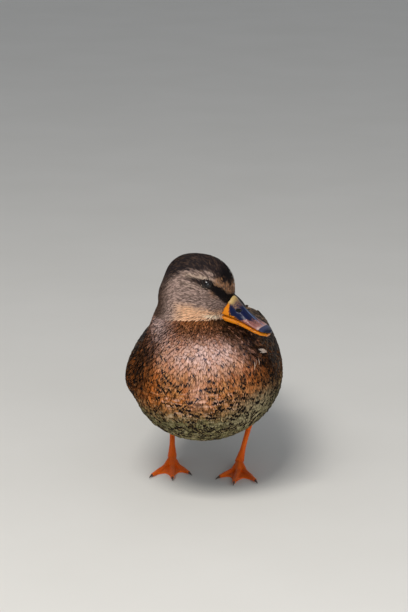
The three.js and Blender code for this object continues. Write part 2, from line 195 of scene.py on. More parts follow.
class Form:
    """A closed surface that answers where a place settles on it, and which way is out."""

    def __init__(self, mesh):
        mesh.calc_loop_triangles()
        self.points = read(mesh.vertices, "co", 3)
        self.outs = read(mesh.vertex_normals, "vector", 3)
        self.corners = read(mesh.loop_triangles, "vertices", 3, int)
        self.tree = BVHTree.FromPolygons(self.points.tolist(), self.corners.tolist())

    def settle(self, places):
        """The nearest points of the form, the way out there, their triangles and shares in them."""
        found = [self.tree.find_nearest(p) for p in places.tolist()]
        spots = np.array([f[0] for f in found])
        faces = np.array([f[2] for f in found])
        a, b, c = (self.points[self.corners[faces, k]] for k in range(3))
        ab, ac, ap = b - a, c - a, spots - a
        d00, d01, d11 = (ab * ab).sum(1), (ab * ac).sum(1), (ac * ac).sum(1)
        d20, d21 = (ap * ab).sum(1), (ap * ac).sum(1)
        scale = np.maximum(d00 * d11 - d01 * d01, 1e-18)
        v, w = (d11 * d20 - d01 * d21) / scale, (d00 * d21 - d01 * d20) / scale
        shares = np.clip(np.stack([1 - v - w, v, w], 1), 0, 1)
        outs = sum(self.outs[self.corners[faces, k]] * shares[:, k : k + 1] for k in range(3))
        return spots, unit(outs), faces, shares

    def scatter(self, count):
        """Random places, as many on each square millimetre."""
        a, b, c = (self.points[self.corners[:, k]] for k in range(3))
        areas = np.linalg.norm(np.cross(b - a, c - a), axis=1)
        picks = rng.choice(len(areas), count, p=areas / areas.sum())
        u, v = rng.random((2, count, 1))
        flip = u + v > 1
        u, v = np.where(flip, 1 - u, u), np.where(flip, 1 - v, v)
        return a[picks] + u * (b - a)[picks] + v * (c - a)[picks]

def run_together(piece):
    """Smooths below the neck, so that wings, thighs and belly run into each other as fluff does."""
    bm = bmesh.new()
    bm.from_mesh(piece.data)
    x, y, z = np.array([v.co for v in bm.verts]).T / MM
    share = (1 - ease(z, 148, 166)) * (1 - ease(y, 50, 90))
    share *= 0.3 + 0.7 * np.exp(-((x + 60) / 18) ** 2 - ((z - 110) / 20) ** 2)
    for step in range(FLUFF_ROUNDS):
        chosen = [v for v, s in zip(bm.verts, share) if s * FLUFF_ROUNDS > step]
        bmesh.ops.smooth_vert(bm, verts=chosen, factor=0.5, use_axis_x=True, use_axis_y=True, use_axis_z=True)
    bm.to_mesh(piece.data)
    bm.free()
    piece.data.shade_smooth()
    return piece

def merged(name, nodes):
    return run_together(smooth_skin(name, nodes, FLESH_GROW, FLESH_VOXEL, 3))

guide = merged("guide", FLESH + ["tail", "primaries_left", "primaries_right"] + BALLS)
form = Form(guide.data)
print("form of", len(form.corners), "triangles")

# %% [markdown]
# The skin is what the feathers grow from. On a living bird it lies a few millimetres
# under the outline, deeper on the breast than on the face, so the merged flesh is drawn
# in by the depth of the coat at each place. One skin over all the flesh leaves no seams.

# %% The skin
NECK_CUT = 178.5 * MM
EYE_REACH = 7.5 * MM

def above_neck(places):
    """How far each place stands above the cut between head and neck."""
    return places[:, 2] - NECK_CUT

def coat_depth(places):
    head = ease(above_neck(places), -8 * MM, 6 * MM)
    face = ease(in_head(places)[:, 0], 0, 30) * head
    legs = 1 - ease(places[:, 2], 44 * MM, 56 * MM)
    return MM * (4.2 * (1 - head) + 2.0 * head - 0.9 * face - 2.6 * legs * (1 - head))

skin = merged("skin", FLESH + BALLS)
skin_form = Form(skin.data)
drawn_in = skin_form.points - skin_form.outs * (coat_depth(skin_form.points) + FLESH_GROW * MM)[:, None]
for centre in eye_centres:
    away = drawn_in - centre
    reach = np.linalg.norm(away, axis=1, keepdims=True)
    drawn_in -= away / reach * np.maximum(0, EYE_REACH - reach) * 0.55
moved(skin.data, drawn_in)
print("skin of", len(skin_form.corners), "triangles")

# %% [markdown]
# Each feather will note where its root sits on an unwrap of the skin, so the skin needs
# one. Smart UV Project cuts it into islands by the way it faces. It is run on the skin's
# own shape, and the roots look their places up on it.

# %% The skin's unwrap
bpy.context.view_layer.objects.active = skin
skin.select_set(True)
bpy.ops.object.mode_set(mode="EDIT")
bpy.ops.mesh.select_all(action="SELECT")
bpy.ops.uv.smart_project(angle_limit=math.radians(66), island_margin=0.004)
bpy.ops.object.mode_set(mode="OBJECT")
skin.select_set(False)
skin.data.uv_layers[0].name = "OFBake"
flat = read(skin.data.uv_layers["OFBake"].data, "uv", 2)
skin.data.calc_loop_triangles()
skin_flat = flat[read(skin.data.loop_triangles, "loops", 3, int)]
print("unwrap spans", flat.min(0).round(3), flat.max(0).round(3))

# %% [markdown]
# Feathers follow a flow. On the head they run away from the bill, round the eyes and down
# the nape. From the neck they spread over the breast and shoulders, and along the body
# they turn towards the tail. One function of place gives that direction, laid flat on
# the form.

# %% The lie of the coat
NECK_POLE = np.array([-3, -107, 185]) * MM
BILL_ROOT = np.array([38, 0, 0])

def flow(places, outs):
    head = ease(above_neck(places), -7 * MM, 5 * MM)[:, None]
    spot = in_head(places)
    from_bill = unit(spot - BILL_ROOT)
    behind = ease(-spot[:, :1], -12, 26)
    from_bill = unit(from_bill * (1 - 0.5 * behind) + np.array([0, 0, -1.0]) * behind)
    on_head = from_bill @ HEAD_AXES.T
    for centre in eye_centres:
        away = places - centre
        reach = np.linalg.norm(away, axis=1, keepdims=True)
        towards = (on_head * away / reach).sum(1, keepdims=True)
        on_head = on_head + away / reach * 0.9 * np.exp(-((reach / (8 * MM)) ** 4)) * towards * -1
    spread = unit(places - NECK_POLE)
    tailward = ease(places[:, 1:2], -150 * MM, -20 * MM)
    on_body = spread * (1 - 0.85 * tailward) + np.array([0, 1.0, -0.08]) * tailward * 1.3
    way = unit(on_head) * head + unit(on_body) * (1 - head)
    return unit(way - outs * (way * outs).sum(1, keepdims=True))

# %% [markdown]
# A contour feather is a flat vane with a rounded, slightly ragged tip, curved like a
# shallow gutter. All the feathers of one kind share a pattern cut from a grid. Copying an
# object thousands of times would be slow, so the pattern's points are repeated with
# arrays and written to one mesh, which is the way to make a whole coat at once.

# %% Patterns for feathers
def cut_pattern(columns, rows, width, sag):
    """A vane cut from a grid. width gives the half width at each share of the length."""
    bm = bmesh.new()
    bmesh.ops.create_grid(bm, x_segments=columns, y_segments=rows, size=1)
    bm.verts.index_update()
    grid = np.array([v.co[:2] for v in bm.verts])
    faces = np.array([[v.index for v in f.verts] for f in bm.faces])
    bm.free()
    across, along = grid[:, 0], grid[:, 1] / 2 + 0.5
    side = across * on_curve(width, along)
    return {"across": across, "along": along, "side": side, "gutter": side**2,
            "sag": -sag * across**2 * ease(along, 0.2, 1.0), "faces": faces,
            "column": np.rint((across + 1) / 2 * columns).astype(int), "columns": columns,
            "row": np.rint(along * rows).astype(int), "rows": rows}

CONTOUR = cut_pattern(8, 5, [(0, 0.35), (0.25, 0.85), (0.55, 1), (0.8, 0.9), (0.93, 0.72), (1, 0.5)], 0.12)
SHOULDER = cut_pattern(8, 8, [(0, 0.35), (0.2, 0.85), (0.5, 1), (0.8, 0.93), (0.93, 0.72), (1, 0.4)], 0.12)
FLIGHT = cut_pattern(6, 14, [(0, 0.3), (0.12, 0.8), (0.35, 1), (0.75, 0.95), (0.9, 0.7), (1, 0.12)], 0.03)
ROUND = cut_pattern(6, 12, [(0, 0.4), (0.2, 0.85), (0.5, 1), (0.85, 0.97), (0.95, 0.88), (1, 0.66)], 0.05)
LANCET = cut_pattern(2, 4, [(0, 0.6), (0.35, 1), (0.7, 0.8), (1, 0.12)], 0.02)
print("contour feather of", len(CONTOUR["faces"]) * 2, "triangles, lancet of", len(LANCET["faces"]) * 2)

# %% [markdown]
# Roots have to be spread evenly, or the coat shows holes. Random places are taken one by
# one, and each is kept only if no kept one is closer than its spacing. A table of small
# cells makes that quick, as only the cells around a place are searched.

# %% Even roots
def evenly(places, spacing):
    """The places that stand at least spacing from each other."""
    cells, kept = {}, []
    keys = np.floor(places / spacing).astype(int).tolist()
    steps = [(i, j, k) for i in (-1, 0, 1) for j in (-1, 0, 1) for k in (-1, 0, 1)]
    for index, (place, (p, q, r)) in enumerate(zip(places.tolist(), keys)):
        around = (cells.get((p + i, q + j, r + k), ()) for i, j, k in steps)
        if all(math.dist(place, other) >= spacing for cell in around for other in cell):
            cells.setdefault((p, q, r), []).append(place)
            kept.append(index)
    return np.array(kept, int)

# %% [markdown]
# Laying a feather means walking along the form from its root: a step along the flow, down
# to the surface, and again, until the feather's length is used. The root starts at the
# skin and the tip ends at the outline, so later feathers cover the roots of earlier ones
# like roof tiles. Each point also stores where it lies on its vane and what zone of the
# plumage it is in, which the materials read.

# %% Laying a coat
PATCH = 0.0015

def write_mesh(name, points, faces, flat_places, notes):
    """A mesh from arrays: points, four-cornered faces, a flat place and notes for each point."""
    mesh = bpy.data.meshes.new(name)
    mesh.vertices.add(len(points))
    mesh.vertices.foreach_set("co", points.astype(np.float32).ravel())
    mesh.loops.add(faces.size)
    mesh.loops.foreach_set("vertex_index", faces.astype(np.int32).ravel())
    mesh.polygons.add(len(faces))
    mesh.polygons.foreach_set("loop_start", np.arange(0, faces.size, faces.shape[1], dtype=np.int32))
    mesh.update(calc_edges=True)
    mesh.uv_layers.new(name="OFBake").data.foreach_set("uv", flat_places[faces.ravel()].astype(np.float32).ravel())
    note_on(mesh, notes)
    mesh.shade_smooth()
    mesh.validate()
    return mesh

def flat_place(roots):
    """Where each root sits on the skin's unwrap."""
    _, _, faces, shares = skin_form.settle(roots)
    return (skin_flat[faces] * shares[:, :, None]).sum(1)

def walk(roots, length, rows, sway):
    """The line that each feather follows over the form, from its root, and the way out along it."""
    spots, outs, _, _ = form.settle(roots)
    way = flow(spots, outs)
    turn = rng.normal(0, sway, len(roots))[:, None]
    way = unit(way * np.cos(turn) + np.cross(outs, way) * np.sin(turn))
    line, ups = [spots], [outs]
    for _ in range(rows):
        spots, outs, _, _ = form.settle(spots + way * (length / rows)[:, None])
        line.append(spots)
        ups.append(outs)
        way = unit(unit(spots - line[-2]) * 0.6 + flow(spots, outs) * 0.4)
    return np.array(line), np.array(ups)

def cover(name, line, ups, pattern, half, rise, notes, ragged=0.06, curl=0.25, roll=0.10, ruffle=0.0):
    """One mesh of a feather for each line. rise gives the height over the form along the vane.
    Each column is a lock by itself: ragged is how much they differ in length, ruffle in height."""
    count = line.shape[1]
    half = np.broadcast_to(half, count)
    length = np.linalg.norm(np.diff(line, axis=0), axis=2).sum(0)
    ahead = unit(np.gradient(line, axis=0))
    sides = unit(np.cross(ahead, ups)) + ups * rng.normal(0, roll, count)[None, :, None]
    r, t, lock = pattern["row"], pattern["along"], pattern["column"]
    locks = (pattern["columns"] + 1, count)
    fray = rng.normal(0, ragged, locks)[lock] * ease(t, 0.35, 1.0)[:, None]
    side_by = pattern["side"][:, None] * half[None, :] * (1 + fray)
    along_by = (pattern["sag"][:, None] + fray) * length[None, :]
    out_by = rise(t[:, None]) - curl * half[None, :] * pattern["gutter"][:, None]
    out_by = out_by + rng.normal(0, ruffle * MM, locks)[lock] * ease(t, 0.1, 0.7)[:, None]
    points = line[r] + sides[r] * side_by[..., None] + ahead[r] * along_by[..., None] + ups[r] * out_by[..., None]
    points = points.transpose(1, 0, 2).reshape(-1, 3)
    faces = (pattern["faces"][None] + (np.arange(count) * len(t))[:, None, None]).reshape(-1, 4)
    vane = np.stack([np.tile(pattern["across"], count), np.tile(t, count), np.repeat(rng.random(count), len(t))], 1)
    flats = np.repeat(flat_place(line[0]), len(t), 0) + PATCH * np.stack([vane[:, 0], vane[:, 1] * 2 - 1], 1)
    notes = {"vane": vane, **{note: np.repeat(values, len(t), 0) for note, values in notes.items()}}
    return shown(name, write_mesh(name, points, faces, np.clip(flats, 0, 1), notes))

def lay(name, roots, pattern, length, half, zones, lift, sway=0.12, **shape):
    """A coat piece of one feather for each root. length and half are arrays in metres."""
    line, ups = walk(roots, length, pattern["rows"], sway)
    depth = coat_depth(roots)[None]
    tips = 1 + 0.5 * rng.random((1, len(roots)))

    def rise(t):
        return -depth * (1 - t) ** 1.25 + lift * MM * ease(t, 0.5, 1.0) * tips

    notes = zones(line[int(round(pattern["rows"] * 0.8))])
    return cover(name, line, ups, pattern, half, rise, notes, **shape)

# %% [markdown]
# Shader nodes are easier to read as sums. A small class wraps a socket so that
# 1 - mask * 0.5 adds the Math nodes for it, and one method makes any other node from its
# type, its settings and what goes into its sockets.

# %% Shader maths
class Wire:
    """A value inside a material."""

    def __init__(self, paint, socket):
        self.paint, self.socket = paint, socket

    def math(self, how, first, second=0.0):
        return self.paint.node("ShaderNodeMath", {"operation": how}, {0: first, 1: second})

    def __add__(self, other): return self.math("ADD", self, other)
    def __sub__(self, other): return self.math("SUBTRACT", self, other)
    def __rsub__(self, other): return self.math("SUBTRACT", other, self)
    def __mul__(self, other): return self.math("MULTIPLY", self, other)
    def __truediv__(self, other): return self.math("DIVIDE", self, other)
    def __pow__(self, other): return self.math("POWER", self, other)
    def under(self, limit): return self.math("MINIMUM", self, limit)
    def __abs__(self): return self.math("ABSOLUTE", self)
    __radd__, __rmul__ = __add__, __mul__

    def step(self, low, high):
        """0 below low, 1 above high, and a soft step between."""
        return self.paint.node("ShaderNodeMapRange", {"interpolation_type": "SMOOTHSTEP"}, {0: self, 1: low, 2: high})

    def parts(self):
        """The three numbers of a vector."""
        return self.paint.node("ShaderNodeSeparateXYZ", None, {0: self}, "all")

    def dice(self, times):
        """Another random number, from one between 0 and 1."""
        return self.math("FRACT", self * times)

class Paint:
    """A material under construction. Numbers that are the same all over go on the shader's own sockets."""

    def __init__(self, name, **finish):
        self.material = bpy.data.materials.new(name)
        self.material.use_nodes = True
        self.tree = self.material.node_tree
        self.tree.nodes.clear()
        self.shader = self.tree.nodes.new("ShaderNodeBsdfPrincipled")
        output = self.tree.nodes.new("ShaderNodeOutputMaterial")
        self.tree.links.new(self.shader.outputs[0], output.inputs["Surface"])
        for socket, value in finish.items():
            self.shader.inputs[socket.replace("_", " ")].default_value = value

    def node(self, kind, settings=None, sockets=None, out=0):
        node = self.tree.nodes.new(kind)
        for key, value in (settings or {}).items():
            setattr(node, key, value)
        for key, value in (sockets or {}).items():
            if isinstance(value, Wire):
                self.tree.links.new(value.socket, node.inputs[key])
            else:
                node.inputs[key].default_value = value
        return [Wire(self, o) for o in node.outputs] if out == "all" else Wire(self, node.outputs[out])

    def feed(self, socket, wire):
        self.tree.links.new(wire.socket, self.shader.inputs[socket])

    def place(self):
        """Where a point is on the object, in metres."""
        return self.node("ShaderNodeTexCoord", out=3)

    def note(self, name):
        """The three numbers of an attribute."""
        return self.node("ShaderNodeAttribute", {"attribute_name": name}, out=1).parts()

    def noise(self, vector, scale, detail=2.0):
        return self.node("ShaderNodeTexNoise", None, {"Vector": vector, "Scale": scale, "Detail": detail})

    def vector(self, x, y, z):
        return self.node("ShaderNodeCombineXYZ", None, {0: x, 1: y, 2: z})

    def mix(self, share, first, second, how="MIX"):
        return self.node("ShaderNodeMix", {"data_type": "RGBA", "blend_type": how}, {0: share, 6: first, 7: second}, 2)

    def layers(self, colour, *coats):
        """The colour under coats of others, each given as (share, colour)."""
        for share, coat in coats:
            colour = self.mix(share, colour, coat)
        return colour

    def shaded(self, colour, light):
        return self.mix(1.0, colour, self.vector(light, light, light), "MULTIPLY")

    def done(self, colour, height=None, relief=0.0):
        """Feeds the colour, and the height as a relief in metres, and hands out the material."""
        self.feed("Base Color", colour)
        if relief:
            self.feed("Normal", self.node("ShaderNodeBump", None, {"Height": height, "Distance": relief}))
        print(self.material.name, "of", len(self.tree.nodes), "nodes")
        return self.material

def tint(*screen):
    """A colour from its red, green and blue screen numbers, as the light it sends back."""
    return tuple((v / 255 / 12.92 if v < 10.3 else ((v / 255 + 0.055) / 1.055) ** 2.4) for v in screen) + (1.0,)

def grained(name, scale, detail, first, second, relief=0.0, **finish):
    """A plain finish: a grain between two colours, and the same grain as relief."""
    paint = Paint(name, **finish)
    grain = paint.noise(paint.place(), scale, detail)
    return paint.done(paint.mix(grain, first, second), grain, relief)

# %% [markdown]
# The plumage of a hen is cryptic: buff and rufous feathers, each with its own dark mark.
# Three notes hold what each place is like. On the body, zone says how rufous, pale and
# olive it is, mark how strong, dusky and streaked, and rare how white, grey and khaki.
# The pale holds a painted highlight on the upper breast as well, the olive a painted shade
# of the underside, and the dusk painted shade at the sides and under the chin and bill.
# They are plain functions of place, worked out once for each feather, so the skin under
# the coat can carry the same markings.

# %% Zones of the body
def spot(values, middle, reach):
    """1 at the middle, fading to 0 beyond the reach."""
    return np.exp(-sum(((v - m) / r) ** 2 for v, m, r in zip(values, middle, reach)))

def noted(**notes):
    return {note: np.stack(values, 1) for note, values in notes.items()}

def body_zones(places):
    x, y, z = places.T / MM
    front = 1 - ease(y, -120, -60)
    side = ease(np.abs(x - 4), 24, 56)
    throat = ease(z, 152, 168) * front
    grey = spot((x, z), (-38, 170), (13, 15)) * front
    # The pale middle of the breast is its paler feathers and a painted highlight where light falls on the upper
    # breast.
    pale_and_lit = (spot((x, z), (10, 149), (40, 16)) + 0.45 * spot((x, z), (4, 115), (8, 12)) + 0.5 * grey) * front
    white = 0.8 * spot((x, y, z), (51, -101, 133), (5, 8, 5)) * (rng.random(len(x)) > 0.6)
    khaki = np.maximum(spot((x, z), (56, 98), (18, 14)), 0.8 * spot((x, z), (46, 82), (16, 10))) * front
    # Low on the belly the ground turns olive-grey, made darker than the feathers are as painted shade of the
    # underside.
    olive_and_shade = 1 - ease(z - 0.25 * np.clip(x - 20, 0, 40), 78, 108)
    rufous = np.clip(0.8 * side + 0.9 * throat * (1 - grey) + 0.3, 0, 1)
    # By the bill the shoulder is darker: partly dark shoulder feathers, partly the bill's painted shadow.
    bill_shadow_and_dark_shoulder = ease(x + 0.9 * (z - 150), 28, 50) * front * ease(z, 126, 140)
    # Dusk is darker plumage on the back, with painted shade at the body's sides and a painted shadow under the chin.
    dusk = 1.1 * ease(np.abs(x - 8) + 0.35 * (z - 125), 45, 63) + 0.9 * ease(y, -126, -80)
    dusk = dusk + 0.4 * ease(z, 156, 168) * front * (1 - grey) + 0.8 * bill_shadow_and_dark_shoulder
    dusk = np.clip(dusk, 0, 1) * (1 - 0.5 * olive_and_shade) * (1 - 0.9 * grey)
    dusk = dusk * (1 - 0.4 * ease(z, 158, 176) * (1 - front))
    strength = np.clip(0.55 + 0.4 * side + 0.35 * (1 - ease(z, 116, 136)) - 0.35 * pale_and_lit - 0.5 * throat, 0, 1)
    return noted(zone=[rufous, np.clip(pale_and_lit, 0, 1), olive_and_shade], mark=[strength, dusk, throat], rare=[white, grey, khaki])

# %% [markdown]
# The head is marked as every dabbling duck's hen is: a dark crown, a dark stripe through
# the eye, a pale brow between them, a finely streaked cheek and a plain throat. Curves
# over the head's own length give the height of the crown's edge and of the stripe. On the
# head, zone says how dark, browed and throaty a place is, mark how streaked, how far on the
# nape and how near the gape's line, and rare how rusty, and how far behind.

# %% Zones of the head
CROWN_EDGE = [(-30, -2), (-24, 5), (-21, 12), (-11.7, 20.5), (0.7, 26.5), (13, 29.5), (27, 26.4), (36, 21.5)]
STRIPE_MIDDLE = [(-22, 10), (-10, 16), (2, 18.4), (10, 19), (20, 19), (31, 13), (39, 6)]
STRIPE_HALF = [(-22, 1.0), (0, 1.3), (10, 1.7), (20, 2.3), (25, 3.6), (31, 4.9), (40, 5.4)]

def streaks(places, seed):
    """Noise drawn out along the lie of the head's feathers, about -0.5 to 0.5."""
    drawn = in_head(places) * [0.09, 0.35, 0.55] + [seed, 0, 0]
    return np.array([noise.noise(Vector(p)) for p in drawn])

def head_zones(places):
    x, _, z = in_head(places).T
    wisps, fine = streaks(places, 0.0), streaks(places * 1.9, 40.0)
    own = rng.normal(0, 1, len(x))
    off_crown = z - on_curve(CROWN_EDGE, x) + wisps * 5 + own * 0.8
    behind = ease(-x, 6, 26)
    crown = ease(off_crown, -3.4 - 14 * behind, 2.2 + 3 * behind) * (1 - 0.3 * behind * (1 - ease(z, 4, 16)))
    nape = ease(-x, 10, 26)
    over_stripe, half = z - on_curve(STRIPE_MIDDLE, x), on_curve(STRIPE_HALF, x)
    off = np.abs(over_stripe + wisps * 1.2 + own * 0.2)
    stripe = (1 - ease(off, half - 1.0, half + 1.4)) * (0.15 + 0.85 * ease(x, -12, 8)) * ease(x, -22, -12)
    gape = ease(x, 24, 36) * (1 - ease(z, 0, 7)) * ease(z, -9, -4) * 0.12
    dark = np.clip(np.maximum(np.maximum(crown, stripe), gape), 0, 1)
    brow = (1 - ease(off_crown, -6, 0)) * ease(over_stripe, 0.5, 2.5)
    brow = brow * ease(x, -14, 2) * (1 - 0.4 * ease(x, 17, 27))
    under_eye = spot((x, z), (18, 15.8), (7, 1.8)) + 0.4 * spot((x, z), (2, 13), (9, 2.5))
    throat = (1 - ease(z + wisps * 3, -10.5, -1.5)) * ease(x, -12, 8)
    gape_line = 1.4 * spot((x, z), (30, -12.3), (6, 1.6))
    streak = np.clip(0.55 + fine * 1.6 - 1.5 * throat - 0.35 * brow + 0.3 * nape, 0, 1)
    hind_neck = (1 - ease(above_neck(places) / MM, 0, 18)) * ease(places[:, 1] / MM, -122, -92)
    hind = np.maximum(nape * (1 - ease(z, -14, 12)), hind_neck)
    rusty = ease(x, 20, 28) * ease(z, 4, 12)
    return noted(zone=[dark, np.clip(brow + under_eye, 0, 1), throat], mark=[streak, nape, gape_line],
                 rare=[rusty, hind, nape * 0])

# %% [markdown]
# A feather's finish has three layers: its ground colour by zone, the dark mark near its
# tip with a pale fringe beyond it, and the barbs, fine threads that run from the shaft to
# the edge. The barbs are drawn by noise stretched along them, as colour and as relief.
# The hidden base of each vane is painted darker as shade, which gives the gaps between tips their depth.

# %% Finish of the body feathers
# The olive is made darker than the belly's feathers are, as painted shade of the underside.
FAWN, RUFOUS, PALE, SHADED_OLIVE = tint(182, 124, 70), tint(172, 94, 32), tint(220, 186, 176), tint(121, 114, 76)
UMBER, INK, SLATE, WHITE = tint(44, 29, 19), tint(15, 10, 10), tint(78, 70, 82), tint(236, 222, 208)
ASH, KHAKI, BLOT_BLACK = tint(196, 172, 168), tint(168, 154, 122), tint(20, 14, 12)
FRINGE_RUFOUS, FRINGE_OLIVE = tint(206, 140, 84), tint(180, 169, 133)

def vane_of(paint, fine=16.0):
    """Where a point is on its vane, its feather's own random number, the threads and the longer locks."""
    across, along, chance = paint.note("vane")
    lean = along - abs(across) * 0.3
    thread = paint.noise(paint.vector(lean * fine, across * 1.2, chance * 40), 1.0, 2.0)
    lock = paint.noise(paint.vector(across * 4.2, along * 1.1, chance * 70), 1.0, 3.0)
    return across, along, chance, thread, lock

def bars(paint, place):
    """Dark and bright wavy lines across the lower breast and belly."""
    low = place.parts()[2].step(0.130, 0.104)
    waves = paint.noise(paint.node("ShaderNodeMapping", None, {"Vector": place, "Scale": (110, 110, 430)}), 1.0, 2.0)
    return waves.step(0.46, 0.37) * low * 0.6, waves.step(0.54, 0.64) * low * 0.5

def body_feathers(name):
    paint = Paint(name, Roughness=0.7, Specular_IOR_Level=0.06)
    across, along, chance, thread, lock = vane_of(paint)
    rufous, pale_and_lit, olive_and_shade = paint.note("zone")
    strength, dusk, throat = paint.note("mark")
    white, grey, khaki = paint.note("rare")
    place, edge = paint.place(), abs(across)
    second, third = chance.dice(17.3), chance.dice(43.7)
    mottle = paint.noise(place, 90.0, 2.0)
    ground = paint.layers(
        FAWN,
        (rufous + (second - 0.5) * 0.8 + (mottle - 0.5) * 1.2, RUFOUS),
        # Paler feathers and the painted highlight of the upper breast.
        (pale_and_lit * (0.55 + third * 0.7), PALE),
        # Olive-grey of the belly, darkened as painted shade of the underside.
        (olive_and_shade * (0.75 + second * 0.5), SHADED_OLIVE),
        (grey * 0.85, ASH),
        # Dusk mixes umber into the ground: darker plumage on the back, and painted shade at the sides and under the
        # chin and bill.
        (dusk * third.step(1.0, 0.5) * 0.9, UMBER),
        (khaki * 0.8, KHAKI))
    hairs = lock.step(0.52, 0.38)
    ragged = (lock - 0.5) * 0.9
    line = along + edge * 0.14 + ragged * 0.10
    often = (second - strength * 0.5).step(0.04, -0.04)
    blot = line.step(0.76, 0.83) * line.step(1.03, 0.97) * (edge + ragged * 0.35).step(0.9, 0.66) * often
    dark, bright = bars(paint, place)
    bright = (bright + lock.step(0.54, 0.66) * 0.4).under(0.7)
    streak = (edge + ragged).step(0.5, 0.15) * along.step(1.0, 0.86)
    coloured = paint.layers(
        ground,
        (hairs * (0.72 - pale_and_lit * 0.42), UMBER),
        (bright, paint.layers(PALE, (rufous, FRINGE_RUFOUS), (olive_and_shade, FRINGE_OLIVE))),
        (streak * (throat * 0.6 + grey * 0.5 + dusk * 0.3).under(0.85), paint.mix(rufous, SLATE, UMBER)),
        ((dark + blot).under(1.0), paint.mix(pale_and_lit, BLOT_BLACK, SLATE)),
        (white, WHITE))
    # Painted shade: the hidden base of each vane is darker, and dusk darkens the sides and under the chin and bill;
    # threads and locks are the vane's own grain.
    shade = (along.step(0.2, 0.75) * 0.3 + 0.7) * (1 - dusk * (1 - white) * 0.5)
    grain = (thread * 0.35 + lock * 0.45 + 0.6) * shade
    shaft = edge.step(0.10, 0.03)
    return paint.done(paint.shaded(coloured, grain), thread + shaft * 0.3 + lock, 0.25 * MM)

breast_finish = body_feathers("breast_plumage")

# %% [markdown]
# The head's feathers are so small that each is nearly one colour. They take it from the
# zones, with a dark centre to some of them, which gives the cheek its fine streaks. Worn
# tips make some of the crown's feathers browner.

# %% Finish of the head feathers
CROWN_BROWN, CHEEK_BUFF, BROW_BUFF = tint(36, 29, 30), tint(168, 143, 132), tint(178, 156, 138)
THROAT_BUFF, STREAK, GAPE_CREAM = tint(230, 184, 146), tint(62, 47, 40), tint(250, 232, 204)

def head_feathers():
    paint = Paint("head_plumage", Roughness=0.65, Specular_IOR_Level=0.1)
    across, along, chance = paint.note("vane")
    dark, brow, throat = paint.note("zone")
    streak, nape, gape_line = paint.note("mark")
    rusty, hind, _ = paint.note("rare")
    second = chance.dice(17.3)
    centre = abs(across).step(0.95, 0.35) * along.step(1.02, 0.86)
    often = (chance - streak).step(0.15, -0.15)
    worn = paint.layers(
        CROWN_BROWN,
        (second.step(0.55, 0.95) * 0.55 * (1 - rusty), tint(96, 74, 60)),
        (rusty * dark * 0.6, tint(14, 11, 11)))
    coloured = paint.layers(
        CHEEK_BUFF,
        (brow, BROW_BUFF),
        (throat, THROAT_BUFF),
        (nape * 0.6, tint(98, 78, 66)),
        (hind * 0.85, tint(74, 54, 42)),
        (rusty * (0.55 + second * 0.45), tint(176, 124, 80)),
        (centre * often * 0.85, STREAK),
        (dark, worn),
        (gape_line.under(1.0), GAPE_CREAM))
    shade = (along.step(0.0, 0.55) * 0.3 + 0.7) * (0.82 + chance * 0.36)
    relief = paint.noise(paint.vector(across * 2, along * 2, chance * 50), 2.0)
    return paint.done(paint.shaded(coloured, shade), relief, 0.12 * MM)

head_finish = head_feathers()

# %% [markdown]
# The skin shows only between feathers, so its finish is the same zones with soft mottling.

# %% Finish of the skin
def skin_paint():
    paint = Paint("bare_skin", Roughness=0.8, Specular_IOR_Level=0.2)
    rufous, pale_and_lit, olive_and_shade = paint.note("zone")
    dark, brow, headed = paint.note("face")
    place = paint.place()
    # Pale and olive bring the same painted highlight and painted shade to the skin.
    body = paint.layers(FAWN, (rufous, RUFOUS), (pale_and_lit, PALE), (olive_and_shade, SHADED_OLIVE))
    body = paint.mix(bars(paint, place)[0], body, INK)
    face = paint.layers(CHEEK_BUFF, (brow, BROW_BUFF), (dark, CROWN_BROWN))
    down = paint.noise(place, 900.0, 3.0)
    return paint.done(paint.shaded(paint.mix(headed, body, face), down * 0.5 + 0.3), down, 0.3 * MM)

face_zones = head_zones(skin_form.points)["zone"]
face_zones[:, 2] = ease(above_neck(skin_form.points), -8 * MM, 2 * MM)
note_on(skin.data, {"zone": body_zones(skin_form.points)["zone"], "face": face_zones})
dress(skin, skin_paint(), "breast_feathers", *FLESH)

# %% [markdown]
# Now the roots. The form is scattered with candidates, those on the tail, wing tips, eyes
# and bill are left out, and the rest are sorted into regions by simple tests of place.
# Feathers are shortest by the bill and longest on the shoulders and rump.

# %% Where feathers may grow
EYE_OPENING, OPENING_HALF = np.array([21.0, 22.4, 19.2]), (5.5, 2.7)
HEAD_LINE, ON_FLESH = 0.5 * MM, 0.8 * MM

def fit_to_grow(places):
    """True where a place is on the flesh, and neither on an eye nor on the bill."""
    fit = np.linalg.norm(skin_form.settle(places)[0] - places, axis=1) < ON_FLESH
    for sign, _ in SIDES:
        x, y, z = (in_head(places) - EYE_OPENING * [1, sign, 1]).T
        far = ((x * 0.94 - z * 0.3) / OPENING_HALF[0]) ** 2 + ((x * 0.3 + z * 0.94) / OPENING_HALF[1]) ** 2
        fit &= ~((far < 1) & (np.abs(y) < 7))
    return fit

def candidates(count, sign):
    """Random places fit to grow, on the head (sign 1) or below it (sign -1)."""
    places = form.scatter(count)
    places = places[sign * (above_neck(places) - HEAD_LINE) > 0]
    return places[fit_to_grow(places)]

# %% [markdown]
# The head comes first, with the smallest feathers of all: narrow lancets less than a
# millimetre apart, longer on the nape than by the bill.

# %% The head's coat
head_roots = candidates(420000, 1)
head_roots = head_roots[evenly(head_roots, 0.84 * MM)]
fore = ease(in_head(head_roots)[:, 0], -10, 34)
head_coat = lay("coat_head", head_roots, LANCET, MM * (5.8 - 3.1 * fore), MM * (0.72 - 0.22 * fore), head_zones,
                lift=0.12, ragged=0.08, curl=0.3, sway=0.13)
dress(head_coat, head_finish, "head_feathers")
print(len(head_roots), "head feathers")

# %% [markdown]
# On the body, length, width and spacing change smoothly from the neck outwards, so no
# region ends in a hard line. A little chance in the sorting frays the borders.

